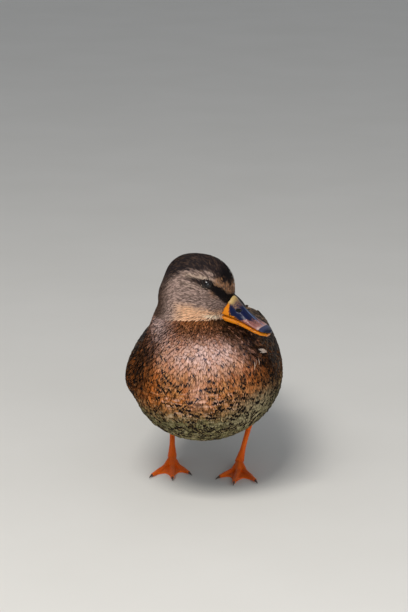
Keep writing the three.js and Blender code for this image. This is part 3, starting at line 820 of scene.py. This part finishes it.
# %% Sizes over the body
body_roots = candidates(300000, -1)

def region_sizes(places):
    """Length, half width and spacing in millimetres, and whether a place is on the back or on a flank."""
    x, y, z = places.T / MM
    near = 1 - ease(np.linalg.norm(places - NECK_POLE, axis=1) / MM, 40, 78)
    rear = ease(y, -60, 0)
    upper = ease(z, 112, 128) * ease(y, -112, -60)
    flank = rear * (1 - upper) * ease(z, 62, 76)
    low = (1 - ease(z, 112, 138)) * (1 - rear)
    broad = upper * (1 - 0.6 * near) * (1 - 0.8 * ease(y, 35, 95))
    length = 14 - 6.5 * near + 5 * rear + 19 * broad + 11 * flank - 8 * upper * ease(y, 40, 90)
    half = 3.4 - 1.6 * near + 2.2 * low + 0.6 * rear + 3.0 * broad + 1.4 * flank
    spacing = 3.7 - 1.5 * near + 1.5 * low + 1.4 * rear + 5.0 * broad + 2.7 * flank
    stray = rng.normal(0, 0.13, len(x))
    return length, half, spacing, upper + stray > 0.5, flank + stray > 0.5

length, half, spacing, upper, flank = region_sizes(body_roots)
ring = np.linalg.norm(body_roots - NECK_POLE, axis=1)

def thinned(chosen, bands):
    """Of the chosen roots, an even few: each band of spacings by itself, in rings out from the neck."""
    kept = []
    for low, high in zip(bands, bands[1:]):
        here = chosen[(spacing[chosen] >= low) & (spacing[chosen] < high)]
        here = here[np.argsort(ring[here])]
        if len(here):
            kept.append(here[evenly(body_roots[here], MM * float(np.mean(spacing[here])))])
    return np.concatenate(kept)

def lay_body(name, chosen, pattern, finish, slot, **shape):
    coat = lay(name, body_roots[chosen], pattern, MM * length[chosen], MM * half[chosen], body_zones, **shape)
    dress(coat, finish, slot)
    print(len(chosen), "feathers")

print(len(body_roots), "candidates below the head")

# %% [markdown]
# The breast is cut into a left and a right piece and a belly, to keep each mesh light.
# Its feathers are soft, so their locks part a little in length and in height.

# %% Breast and belly
front = thinned(np.flatnonzero(~upper & ~flank), [0, 2.4, 2.8, 3.2, 3.9, 4.6, 5.4, 30])
high, left = body_roots[front, 2] > 104 * MM, body_roots[front, 0] > 0
for name, part in (("coat_breast_left", high & left), ("coat_breast_right", high & ~left), ("coat_belly", ~high)):
    lay_body(name, front[part], CONTOUR, breast_finish, "breast_feathers",
             lift=0.1, ragged=0.09, curl=0.12, ruffle=0.12)

# %% [markdown]
# The flanks and shoulders carry the largest body feathers. On a hen each is dark brown
# with a buff edge and one or two buff chevrons inside it, so the finish draws those lines
# from the place on the vane: the edge by how far out, the chevrons by how far along.
# At the bend of the wing, beside the breast, the ground is darker and the edges are faint:
# partly darker feathers, partly painted shade at the body's sides and under the bill.

# %% Finish of shoulders and flanks
EDGE_BUFF, CHEVRON_BUFF = tint(156, 124, 94), tint(118, 82, 54)

def patterned_feathers(name, brown, chevron, edge_width):
    paint = Paint(name, Roughness=0.6, Specular_IOR_Level=0.12)
    across, along, chance, thread, lock = vane_of(paint)
    x, y, _ = paint.place().parts()
    edge, wave = abs(across), (lock - 0.5) * 0.16
    out_by = (edge ** 3.0) * 0.9 + (along.step(0.6, 1.0) ** 2.0) * 0.9 + wave
    rim = out_by.step(0.92 - edge_width, 0.92 - edge_width * 0.35)
    line = along + edge * 0.30 + wave
    inner = abs(line - 0.76).step(0.055, 0.02) * edge.step(0.86, 0.7) * edge.step(0.06, 0.22)
    outer = abs(line - 0.93).step(0.04, 0.015) * edge.step(0.06, 0.25) * 0.6
    # Front of the shoulders: darker feathers, with painted shade at the body's sides and under the bill.
    shoulder_dark_and_shade = abs(x).step(0.026, 0.046) * y.step(0.060, 0.000)
    seen = chance.dice(17.3).step(0.2, 0.7) * 0.7 + 0.3
    coloured = paint.layers(
        brown,
        (thread * 0.6, INK),
        (along.step(0.55, 0.95) * 0.45, INK),
        ((inner + outer).under(1.0) * chevron, CHEVRON_BUFF),
        (shoulder_dark_and_shade * 0.6, INK),
        (rim * seen * (1 - shoulder_dark_and_shade * 0.65), EDGE_BUFF))
    shade = (along.step(0.2, 0.7) * 0.45 + 0.55) * (0.8 + thread * 0.4) * (1 - shoulder_dark_and_shade * 0.15)
    shaft = edge.step(0.08, 0.03)
    return paint.done(paint.shaded(coloured, shade), thread + shaft * 0.8, 0.3 * MM)

shoulder_finish = patterned_feathers("shoulder_plumage", tint(30, 24, 24), 0.3, 0.18)
flank_finish = patterned_feathers("flank_plumage", tint(64, 45, 33), 0.7, 0.12)

# %% [markdown]
# Shoulder and flank feathers are firmer than the breast's. They lie closer to their flow,
# with smoother edges, and stand out a little more, so that each shows as a scale.

# %% Shoulders, back and flanks
top = thinned(np.flatnonzero(upper), [0, 4, 5, 6, 7, 8, 9, 30])
side = thinned(np.flatnonzero(flank & ~upper), [0, 5, 6.5, 8, 30])
for name, chosen, finish in (("coat_back", top, shoulder_finish), ("coat_flank", side, flank_finish)):
    lay_body(name, chosen, SHOULDER, finish, "wing_feathers",
             lift=0.25, ragged=0.03, curl=0.1, sway=0.04, ruffle=0.06, roll=0.03)

# %% [markdown]
# Flight feathers are long stiff vanes in fixed places, so each gets its own line. Points on
# the wing are found by casting a ray at the form from the side. A line runs from root to
# tip through such points, and the feathers of a row are spaced evenly between a first and
# a last one. The tail and the wing tips stand free, so their lines are drawn in the air.

# %% Lines for the long feathers
WING_SIDE, SET_OUT = 150.0, 0.35

def between(first, last, count):
    """count values spread evenly from first to last, which may be points."""
    share = np.linspace(0, 1, count)[:, None]
    return np.array(first) * (1 - share) + np.array(last) * share

def cast(places, heading):
    """Where rays from places meet the form, and the way out there."""
    hits = [form.tree.ray_cast(Vector(p), Vector(heading)) for p in places]
    spots = np.array([h[0] if h[0] is not None else p for h, p in zip(hits, places)])
    return spots, form.settle(spots)[1]

def row_on_side(sign, roots, tips, rows):
    """Lines over the wing's side. roots and tips are (along the body, height) in millimetres."""
    found = []
    for t in np.linspace(0, 1, rows + 1):
        along, height = (roots * (1 - t) + tips * t).T
        places = np.stack([np.full(len(along), sign * WING_SIDE), along, height], 1) * MM
        found.append(cast(places, (-sign, 0, 0)))
    return [np.array(part) for part in zip(*found)]

def free_lines(roots, tips, outs, rows, sink):
    """Straight lines in the air, bowed down a little in the middle."""
    share = np.linspace(0, 1, rows + 1)[:, None, None]
    line = (roots * (1 - share) + tips * share) * MM
    line[..., 2] -= sink * MM * np.sin(np.pi * share[..., 0])
    return line, np.broadcast_to(unit(outs), line.shape).copy()

def set_in(depth, tip):
    """A height that starts under the coat and comes out over it."""
    return lambda t: MM * (-depth * (1 - ease(t, 0.0, SET_OUT)) + tip * ease(t, SET_OUT * 0.7, 1.0))

def flat_rise(t):
    return 0 * t


# %% [markdown]
# The tail is a fan of pointed feathers, the middle pair on top and longest. The wing tips
# are a stack of narrow primaries that cross above the rump. Both are plain dusky brown
# with thin pale edges, and the tail is freckled with buff.

# %% Finish of the flight feathers
def flight_feathers(name, dusk, edge, freckle):
    paint = Paint(name, Roughness=0.6, Specular_IOR_Level=0.1)
    across, along, chance, thread, lock = vane_of(paint, 70.0)
    out_by = abs(across)
    rim = (out_by + (lock - 0.5) * 0.2).step(0.78, 0.95)
    freckles = paint.noise(paint.vector(across * 2.2, along * 9.0, chance * 60), 1.0, 1.0)
    spots = freckles.step(0.56, 0.64) * freckle * out_by.step(0.15, 0.5)
    shaft = out_by.step(0.06, 0.03)
    coloured = paint.layers(
        dusk, (thread * 0.7, INK), (spots, edge), (rim * 0.7, edge), (shaft * 0.7, tint(96, 74, 56)))
    return paint.done(coloured, thread + shaft * 1.5, 0.25 * MM)

tail_finish = flight_feathers("tail_plumage", tint(84, 66, 52), tint(206, 184, 156), 0.9)

# %% [markdown]
# The tail's lines start close together under the rump and spread to the tips, each pair
# a little lower than the one inside it. The primaries start at the wing and meet behind.

# %% Tail and wing tips
TAIL_COUNT, PRIMARY_COUNT = 18, 6

s = np.linspace(-1, 1, TAIL_COUNT)
pair = np.abs(s)
roots = np.stack([s * 15, np.full(TAIL_COUNT, 96.0), 117.5 - 2 * s**2 - 1.2 * pair], 1)
tips = np.stack([s * 32, 173.0 - 13 * s**2, 122.9 - 7.5 * s**2 - 1.2 * pair], 1)
outs = np.stack([s * 0.28, np.full(TAIL_COUNT, -0.08), np.ones(TAIL_COUNT)], 1)
line, ups = free_lines(roots, tips, outs, FLIGHT["rows"], 1.0)
tail_fan = cover("tail_fan", line, ups, FLIGHT, 6.6 * MM, flat_rise, {}, ragged=0.008, curl=0.05, roll=0.02)
dress(tail_fan, tail_finish, "tail_feathers", "tail")

for sign, side_name in SIDES:
    k = np.linspace(0, 1, PRIMARY_COUNT)[:, None]
    roots = np.array([sign * 36, 58, 127.0]) + k * np.array([sign * 3.0, -4, -3.5])
    tips = np.array([sign * 13.5, 145.5, 134.6]) + k * np.array([sign * 7.0, -34, -4.0])
    outs = np.broadcast_to(np.array([sign * 0.55, -0.05, 1.0]), roots.shape)
    line, ups = free_lines(roots, tips, outs, FLIGHT["rows"], -2.0)
    blades = cover(f"primaries_{side_name}_vanes", line, ups, FLIGHT, 6.0 * MM, flat_rise, {},
                   ragged=0.004, curl=0.04, roll=0.01)
    finish = flight_feathers(f"primaries_{side_name}_plumage", tint(44, 36, 33), tint(92, 76, 64), 0.0)
    dress(blades, finish, "wing_feathers", f"primaries_{side_name}")

# %% [markdown]
# On the folded wing three rows show between the flank and the shoulder: greater coverts
# with a white bar and a black tip, the secondaries with the blue mirror that all mallards
# have, and above them the long tertials that shade the mirror.

# %% Finish of the wing rows
MIRROR_BLUE, BAR_WHITE, WING_BROWN = tint(38, 52, 130), tint(226, 220, 212), tint(96, 82, 72)

def barred_feathers(name, ground, *bands):
    """Plain vanes with cross bars near the tip, each given as (colour, from, to) along the vane."""
    paint = Paint(name, Roughness=0.42, Specular_IOR_Level=0.5, Coat_Weight=0.15, Coat_Roughness=0.35)
    across, along, _, thread, lock = vane_of(paint, 50.0)
    line = along + abs(across) * 0.03 + (lock - 0.5) * 0.03
    coloured = paint.mix(thread * 0.5, ground, INK)
    for colour, low, high in bands:
        inside = line.step(low - 0.01, low + 0.01) * line.step(high + 0.01, high - 0.01)
        coloured = paint.mix(inside, coloured, colour)
    return paint.done(coloured, thread + abs(across).step(0.07, 0.03), 0.2 * MM)

def tertial_paint():
    paint = Paint("tertial_plumage", Roughness=0.55, Specular_IOR_Level=0.15)
    across, _, _, thread, lock = vane_of(paint, 60.0)
    out_by = abs(across) + (lock - 0.5) * 0.15
    coloured = paint.layers(
        tint(78, 62, 51),
        (thread * 0.6, UMBER),
        (out_by.step(0.1, 0.75), tint(52, 41, 35)),
        (out_by.step(0.8, 0.97), tint(170, 142, 112)))
    return paint.done(coloured, thread + abs(across).step(0.06, 0.02) * 1.5, 0.25 * MM)

mirror_finish = barred_feathers("mirror_plumage", MIRROR_BLUE, (INK, 0.86, 0.94), (BAR_WHITE, 0.94, 1.1))
covert_finish = barred_feathers("covert_plumage", WING_BROWN, (BAR_WHITE, 0.78, 0.92), (INK, 0.92, 1.1))
tertial_finish = tertial_paint()

# %% [markdown]
# The rows differ only in numbers, so a table holds them. Places are given as along the body
# and over the wing's middle, for the first and last root and the first and last tip.

# %% The wing rows
WING_ROWS = (  # name, finish, count, first and last root, first and last tip, half width, rise, curl
    ("mirror", mirror_finish, 5, (20, -14), (26, -2), (72, -12.5), (78, -2), 3.6, 1.2, 0.15),
    ("greater_coverts", covert_finish, 6, (2, -14), (10, -1), (42, -13), (50, -1), 3.4, 1.9, 0.15),
    ("tertials", tertial_finish, 4, (10, 5), (26, 13), (84, 0), (104, 8), 8.4, 2.6, 0.18))

for sign, side_name in SIDES:
    middle = np.array([0, centre_of(f"wing_{side_name}").z / MM])
    for name, finish, count, *ends, wide, tip, curl in WING_ROWS:
        first_root, last_root, first_tip, last_tip = (middle + end for end in ends)
        roots, tips = between(first_root, last_root, count), between(first_tip, last_tip, count)
        line, ups = row_on_side(sign, roots, tips, ROUND["rows"])
        row = cover(f"{name}_{side_name}", line, ups, ROUND, wide * MM, set_in(3.0, tip), {},
                    ragged=0.01, curl=curl, roll=0.03)
        dress(row, finish, "wing_feathers")

# %% [markdown]
# This bird has one slip of white at the bend of the wing, half out of its place. It is laid
# as three white vanes across the lie of the coat, with three thin pale streaks before them,
# all on points brought down to the form.

# %% The white slip
starts = np.array([[46, -110, 138.6], [47, -109, 137.5], [46, -110, 136.4],
                   [53, -118, 139], [51, -122, 138], [49, -126, 137]])
ways = np.array([[10, 15, -3]] * 3 + [[-3, -8, -9], [-4.5, -8, -7], [-3.5, -8, -9]])
slip_half, slip_white = np.array([1.4, 1.2, 1.4, 0.5, 0.5, 0.5]), [0.75] * 3 + [0.5] * 3
settled = [form.settle((starts + ways * t) * MM)[:2] for t in np.linspace(0, 1, CONTOUR["rows"] + 1)]
line, ups = (np.array(part) for part in zip(*settled))
plain = np.zeros((len(starts), 3))
slip_notes = {"zone": plain, "mark": plain, "rare": np.array([[white, 0, 0] for white in slip_white])}
white_slip = cover("white_slip", line, ups, CONTOUR, MM * slip_half, set_in(2.5, 1.6), slip_notes,
                   ragged=0.12, curl=0.1)
dress(white_slip, breast_finish, "breast_feathers")

# %% [markdown]
# The bill is horn over bone, smooth and a little waxy. Its solids are remeshed finely and
# smoothed, which rounds their facets, and the nostrils are pressed in afterwards. A hen's
# bill is orange with a dark saddle, so the finish measures from the head's frame how far
# each point is from the base, from the lower edge and from the tip.

# %% Forming the bill
NOSTRIL_X, NOSTRIL_Y, NOSTRIL_Z = 50.3, 6.4, -0.7

def pressed(piece, middle, size, depth):
    """Presses an oval dent into the piece. All are millimetres in the head's frame."""
    points = read(piece.data.vertices, "co", 3)
    press = np.exp(-((((in_head(points) - middle) / size) ** 2).sum(1) ** 2))
    inward = np.array([0, -np.sign(middle[1]), -0.3]) @ HEAD_AXES.T
    moved(piece.data, points + inward * (press * depth * MM)[:, None])

def swollen(piece, middle, reach, amount):
    """Raises the piece's skin round a middle. All are millimetres in the head's frame."""
    bm = bmesh.new()
    bm.from_mesh(piece.data)
    bm.normal_update()
    share = spot(in_head(np.array([v.co for v in bm.verts])).T, middle, reach)
    for v, s in zip(bm.verts, share):
        v.co += v.normal * s * amount * MM
    bm.to_mesh(piece.data)
    bm.free()

upper_bill = smooth_skin("bill_upper_horn", ["bill_upper"], 0.15, 0.7, 4)
for sign, _ in SIDES:
    swollen(upper_bill, (36, sign * 7, 6), (4, 7, 8), 1.3)
for sign, _ in SIDES:
    pressed(upper_bill, (NOSTRIL_X, sign * NOSTRIL_Y, NOSTRIL_Z), (2.6, 3.4, 1.4), 1.3)
lower_bill = smooth_skin("bill_lower_horn", ["bill_lower"], 0.4, 0.7, 4)
swollen(lower_bill, (60, 0, -18), (40, 14, 5), -1.3)
nail = smooth_skin("bill_nail_horn", ["bill_nail"], 0.15, 0.45, 3)
print("upper bill of", len(upper_bill.data.vertices), "points")

# %% [markdown]
# The saddle has a worn, uneven edge, a flesh-coloured patch under it and black spots along
# its rim. Each is a product of soft steps in the head's millimetres, shaken by noise. The
# lower bill has only a few dark spots on the orange.

# %% Finish of the bill
BILL_ORANGE, DEEP_ORANGE, BILL_CREAM = tint(224, 142, 12), tint(190, 98, 20), tint(174, 146, 92)
SADDLE, SADDLE_DEEP, SPOT_BLACK = tint(10, 23, 66), tint(10, 13, 32), tint(20, 17, 22)
FLESH_PINK, VEIN_PINK, FLESH_BROWN = tint(132, 84, 78), tint(176, 122, 112), tint(128, 96, 72)

def head_place(paint):
    """Object coordinates turned into millimetres of the head's frame."""
    turn, shift = head_from_row.to_3x3().to_euler("XYZ"), head_from_row.translation / MM
    return paint.node("ShaderNodeMapping", {"vector_type": "POINT"}, {
        "Vector": paint.place(), "Location": tuple(shift), "Rotation": tuple(turn), "Scale": (1 / MM,) * 3})

def saddled(paint, orange, place, wander, fine, over_edge):
    """The upper bill's colours over the orange, and the nostril's mask."""
    x, y, z = place.parts()
    near, far, ragged = x + wander * 3, x + wander * 6, wander * 3
    pink = far.step(48.0, 55.0) * (over_edge + ragged).step(1.4, 2.4)
    veins = paint.noise(paint.vector(x * 0.08, y * 0.5, over_edge * 0.9), 1.0, 2.0)
    rim = 4.0 - x.step(46.0, 54.0) * 1.0 + far.step(54.0, 62.0) * 3.6
    saddle = (far + (fine - 0.5) * 7 - over_edge.step(7.5, 1.5) * 6).step(40.6, 42.0)
    saddle = saddle * (over_edge - rim + wander * 4).step(-0.5, 0.5) * (x - over_edge * 1.2).step(80.0, 74.0)
    flesh = x.step(42.0, 44.5) * far.step(52.0, 47.0) * fine.step(0.4, 0.55)
    flesh = flesh * (z + (x - 43.0) * 0.42 + ragged).step(0.8, 2.8)
    cream = near.step(46.5, 41.5) * (z + wander * 4).step(2.0, 5.0)
    # The nostril is painted near-black, as the shade inside its opening, over a shallow dent.
    off_x, off_z = (x - NOSTRIL_X) / 2.5, (z - NOSTRIL_Z) / 1.5
    nostril = (off_x ** 2.0 + off_z ** 2.0).step(1.3, 0.9)
    # A pale blue line along the ridge is a painted reflection, standing in for gloss.
    painted_ridge_reflection = abs(y - 1.2).step(1.5, 0.3) * (x + wander * 4).step(50.0, 57.0) * x.step(80.0, 74.0)
    spots = paint.noise(place, 0.85, 1.0).step(0.55, 0.62) * x.step(40.0, 43.0)
    spots = spots * abs(over_edge - rim + 0.8).step(1.5, 0.8)
    gleam = near.step(71.0, 77.0) * over_edge.step(5.0, 3.6) * over_edge.step(1.4, 2.0)
    return nostril, paint.layers(
        orange,
        (pink, paint.mix(veins.step(0.5, 0.62) * 0.7, FLESH_PINK, VEIN_PINK)),
        (saddle, paint.mix(fine, SADDLE, SADDLE_DEEP)),
        (flesh * 0.9, FLESH_BROWN),
        (cream, BILL_CREAM),
        (nostril, tint(8, 7, 9)),
        # The painted reflection along the ridge.
        (painted_ridge_reflection * 0.5, tint(112, 138, 186)),
        (spots, SPOT_BLACK),
        (gleam * 0.75, tint(218, 192, 186)))

def bill_paint(name, upper_half):
    paint = Paint(name, Roughness=0.3, Specular_IOR_Level=0.16, Coat_Weight=0.08, Coat_Roughness=0.1,
                  Subsurface_Weight=0.05, Subsurface_Scale=0.002)
    place = head_place(paint)
    x, _, z = place.parts()
    wander, fine = paint.noise(place, 0.22, 3.0) - 0.5, paint.noise(place, 1.1, 3.0)
    over_edge = z + 9.5 + (x - 31.0) * 0.084
    coloured = paint.mix(fine, BILL_ORANGE, DEEP_ORANGE)
    if upper_half:
        nostril, coloured = saddled(paint, coloured, place, wander, fine, over_edge)
        paint.feed("Roughness", nostril * 0.6 + 0.3)
    else:
        coloured = paint.mix(paint.noise(place, 0.5, 1.0).step(0.58, 0.66) * 0.6, coloured, SADDLE)
    ridges = paint.node("ShaderNodeTexWave", {"wave_type": "BANDS", "bands_direction": "X"},
                        {"Vector": place, "Scale": 0.35, "Distortion": 0.6})
    relief = fine * 0.5 + ridges * over_edge.step(2.4, 0.6) * 0.6 + wander * 0.4
    return paint.done(coloured, relief, 0.25 * MM)

def nail_paint():
    paint = Paint("nail_horn", Roughness=0.3, Specular_IOR_Level=0.2, Coat_Weight=0.1, Coat_Roughness=0.12)
    place = head_place(paint)
    coloured = paint.mix(place.parts()[0].step(81.5, 78.0), tint(20, 23, 42), tint(46, 50, 78))
    return paint.done(coloured, paint.noise(place, 1.4, 2.0), 0.15 * MM)

dress(upper_bill, bill_paint("upper_bill_horn", True), "bill", "bill_upper")
dress(lower_bill, bill_paint("lower_bill_horn", False), "bill", "bill_lower")
dress(nail, nail_paint(), "nail", "bill_nail")

# %% [markdown]
# A duck's eye is a dark brown ball that looks forward and a little up. The clear cornea is
# made by a glossy finish and a slight bulge on a coloured ball, because glass over a hollow
# would cost light and show little more. The lids are a ring of bare skin that hugs the ball: a
# circle drawn to an almond, extruded outwards three times and laid on spheres around the eye.

# %% Eyes
EYE_RADIUS = 6.2
GAZE = unit(np.array([0.42, 0.86, 0.29]))
LID_WIDE, LID_UP, LID_DOWN = 4.9, 1.7, 2.2
LID_RINGS = [(1.0, 0.1), (1.08, 0.5), (1.2, 0.5), (1.36, -0.4)]

def eye_place(sign):
    """From a frame in the eye's middle to the row's frame."""
    return row_from_head @ Matrix.Translation(Vector(EYE_IN_HEAD * [1, sign, 1]) * MM)

def eye_paint(name, sign):
    paint = Paint(name, Roughness=0.04, Specular_IOR_Level=0.45)
    place = head_place(paint)
    pupil = (EYE_IN_HEAD + GAZE * EYE_RADIUS) * [1, sign, 1]
    apart = paint.node("ShaderNodeVectorMath", {"operation": "DISTANCE"}, {0: place, 1: tuple(pupil)}, 1)
    return paint.done(paint.layers(
        tint(34, 20, 12),
        (paint.noise(place, 3.0, 3.0), tint(14, 9, 6)),
        (apart.step(2.7, 2.3), tint(5, 4, 5)),
        (apart.step(4.2, 4.8), tint(14, 11, 10))))

def eye_ball(name, sign):
    bm = bmesh.new()
    bmesh.ops.create_uvsphere(bm, u_segments=48, v_segments=32, radius=EYE_RADIUS * MM)
    gaze = Vector(GAZE * [1, sign, 1])
    bmesh.ops.rotate(bm, verts=bm.verts, cent=(0, 0, 0), matrix=gaze.to_track_quat("Z", "Y").to_matrix())
    for v in bm.verts:
        facing = max(0.0, v.co.normalized().dot(gaze))
        v.co *= 1 + 0.05 * facing**14
    bmesh.ops.transform(bm, matrix=eye_place(sign), verts=bm.verts)
    return made(name, bm)

def lid_ring(name, sign):
    bm = bmesh.new()
    bmesh.ops.create_circle(bm, cap_ends=False, segments=44, radius=1.0)
    rings = [list(bm.verts)]
    for _ in LID_RINGS[1:]:
        rim = [e for e in bm.edges if e.verts[0] in rings[-1] and e.verts[1] in rings[-1]]
        grown = bmesh.ops.extrude_edge_only(bm, edges=rim)
        rings.append([g for g in grown["geom"] if isinstance(g, bmesh.types.BMVert)])
    gaze, ahead = Vector(GAZE * [1, sign, 1]), Vector((1, 0, -0.32))
    ahead = (ahead - gaze * ahead.dot(gaze)).normalized()
    aloft = gaze.cross(ahead) * (1 if gaze.cross(ahead).z > 0 else -1)
    for ring, (reach, height) in zip(rings, LID_RINGS):
        for v in ring:
            angle = math.atan2(v.co.y, v.co.x)
            rise = math.sin(angle)
            wide = LID_WIDE * reach * math.cos(angle)
            tall = (LID_UP if rise > 0 else LID_DOWN) * reach * abs(rise) ** 1.15 * math.copysign(1, rise)
            way = gaze * math.sqrt(max(0.05, EYE_RADIUS**2 - wide**2 - tall**2)) + ahead * wide + aloft * tall
            v.co = way.normalized() * (EYE_RADIUS + height) * MM
    bmesh.ops.transform(bm, matrix=eye_place(sign), verts=bm.verts)
    bmesh.ops.recalc_face_normals(bm, faces=bm.faces)
    ring = made(name, bm)
    wall = ring.modifiers.new("wall", "SOLIDIFY")
    wall.thickness, wall.offset = 0.4 * MM, 0
    soft = ring.modifiers.new("soft", "SUBSURF")
    soft.levels = soft.render_levels = 2
    return ring

lid_skin = grained("lid_skin", 1400.0, 2.0, tint(34, 27, 24), tint(16, 13, 13), 0.15 * MM,
                   Roughness=0.5, Specular_IOR_Level=0.2)
for sign, side_name in SIDES:
    dress(eye_ball(f"eyeball_{side_name}", sign), eye_paint(f"eye_{side_name}_glass", sign), "eye", f"eye_{side_name}")
    dress(lid_ring(f"eyelid_{side_name}", sign), lid_skin, "head_feathers")

# %% [markdown]
# Legs and webs are one skin of small scales, with broad plates down the front of the shank
# and along the top of each toe. The solids of each leg are merged into one skin, and the
# scales are relief: Voronoi cells for the net of small scales, waves for the plates.

# %% Legs and feet
LEG_ORANGE, LEG_DEEP, WEB_ORANGE = tint(255, 122, 16), tint(224, 84, 8), tint(244, 116, 26)

def leg_paint():
    paint = Paint("leg_scales", Roughness=0.5, Specular_IOR_Level=0.25, Subsurface_Weight=0.06, Subsurface_Scale=0.002)
    place = paint.place()
    z = place.parts()[2]
    cells = paint.node("ShaderNodeTexVoronoi", {"feature": "DISTANCE_TO_EDGE"}, {"Vector": place, "Scale": 720.0})
    grooves = cells.step(0.03, 0.16)
    plates = paint.node("ShaderNodeTexWave", {"wave_type": "BANDS", "bands_direction": "Z", "wave_profile": "SAW"},
                        {"Vector": place, "Scale": 70.0, "Distortion": 1.2})
    shank = z.step(10 * MM, 16 * MM)
    coloured = paint.layers(
        LEG_ORANGE,
        (paint.noise(place, 120.0, 3.0), LEG_DEEP),
        ((1 - grooves) * 0.5, LEG_DEEP),
        (z.step(5 * MM, 2 * MM) * 0.35, WEB_ORANGE))
    return paint.done(coloured, grooves * (1 - shank * 0.5) + plates * shank * 0.7, 0.35 * MM)

leg_finish = leg_paint()
claw_horn = grained("claw_horn", 900.0, 2.0, tint(48, 38, 34), tint(92, 74, 60), 0.1 * MM,
                    Roughness=0.35, Specular_IOR_Level=0.5)
for _, side_name in SIDES:
    leg_nodes = [f"shank_{side_name}", f"foot_{side_name}", f"hind_toe_{side_name}"]
    leg = smooth_skin(f"leg_{side_name}_skin", leg_nodes, 0.12, 0.55, 3)
    dress(leg, leg_finish, "leg_skin", *leg_nodes)
    for toe in ("inner", "middle", "outer", "hind"):
        node = f"claw_{toe}_{side_name}"
        dress(smooth_skin(f"{node}_horn", [node], 0.05, 0.3, 2), claw_horn, "claw", node)

bpy.data.objects.remove(guide)

# %% [markdown]
# A plain pale floor and soft light from a large window at the front upper left, with a
# weaker fill and a pale surround, as in a studio.

# %% Floor and light
LIT_SPOT = Vector((0, 0, 0.12))

floor_bm = bmesh.new()
bmesh.ops.create_grid(floor_bm, x_segments=1, y_segments=1, size=12)
floor = made("floor", floor_bm)
floor.data.materials.append(grained("studio_floor", 6.0, 4.0, tint(214, 212, 206), tint(222, 220, 215), Roughness=0.7))

def window(name, place, size, power, colour):
    """A soft square light that faces the bird."""
    light = bpy.data.lights.new(name, "AREA")
    light.shape, light.size, light.energy, light.color = "SQUARE", size, power, colour
    lamp = shown(name, light)
    lamp.location = place
    lamp.rotation_euler = (Vector(place) - LIT_SPOT).to_track_quat("Z", "Y").to_euler()

window("key_window", (-0.45, -1.4, 2.1), 1.0, 46, (1.0, 0.97, 0.93))
window("fill_window", (0.8, -1.9, 0.4), 1.6, 16, (0.97, 0.98, 1.0))
world = bpy.data.worlds.new("studio")
bpy.context.scene.world = world
world.use_nodes = True
surround = world.node_tree.nodes["Background"].inputs
surround["Color"].default_value, surround["Strength"].default_value = tint(222, 226, 232), 0.42
bpy.context.scene.view_settings.view_transform = "Standard"
print("lit by", len(bpy.data.lights), "windows")
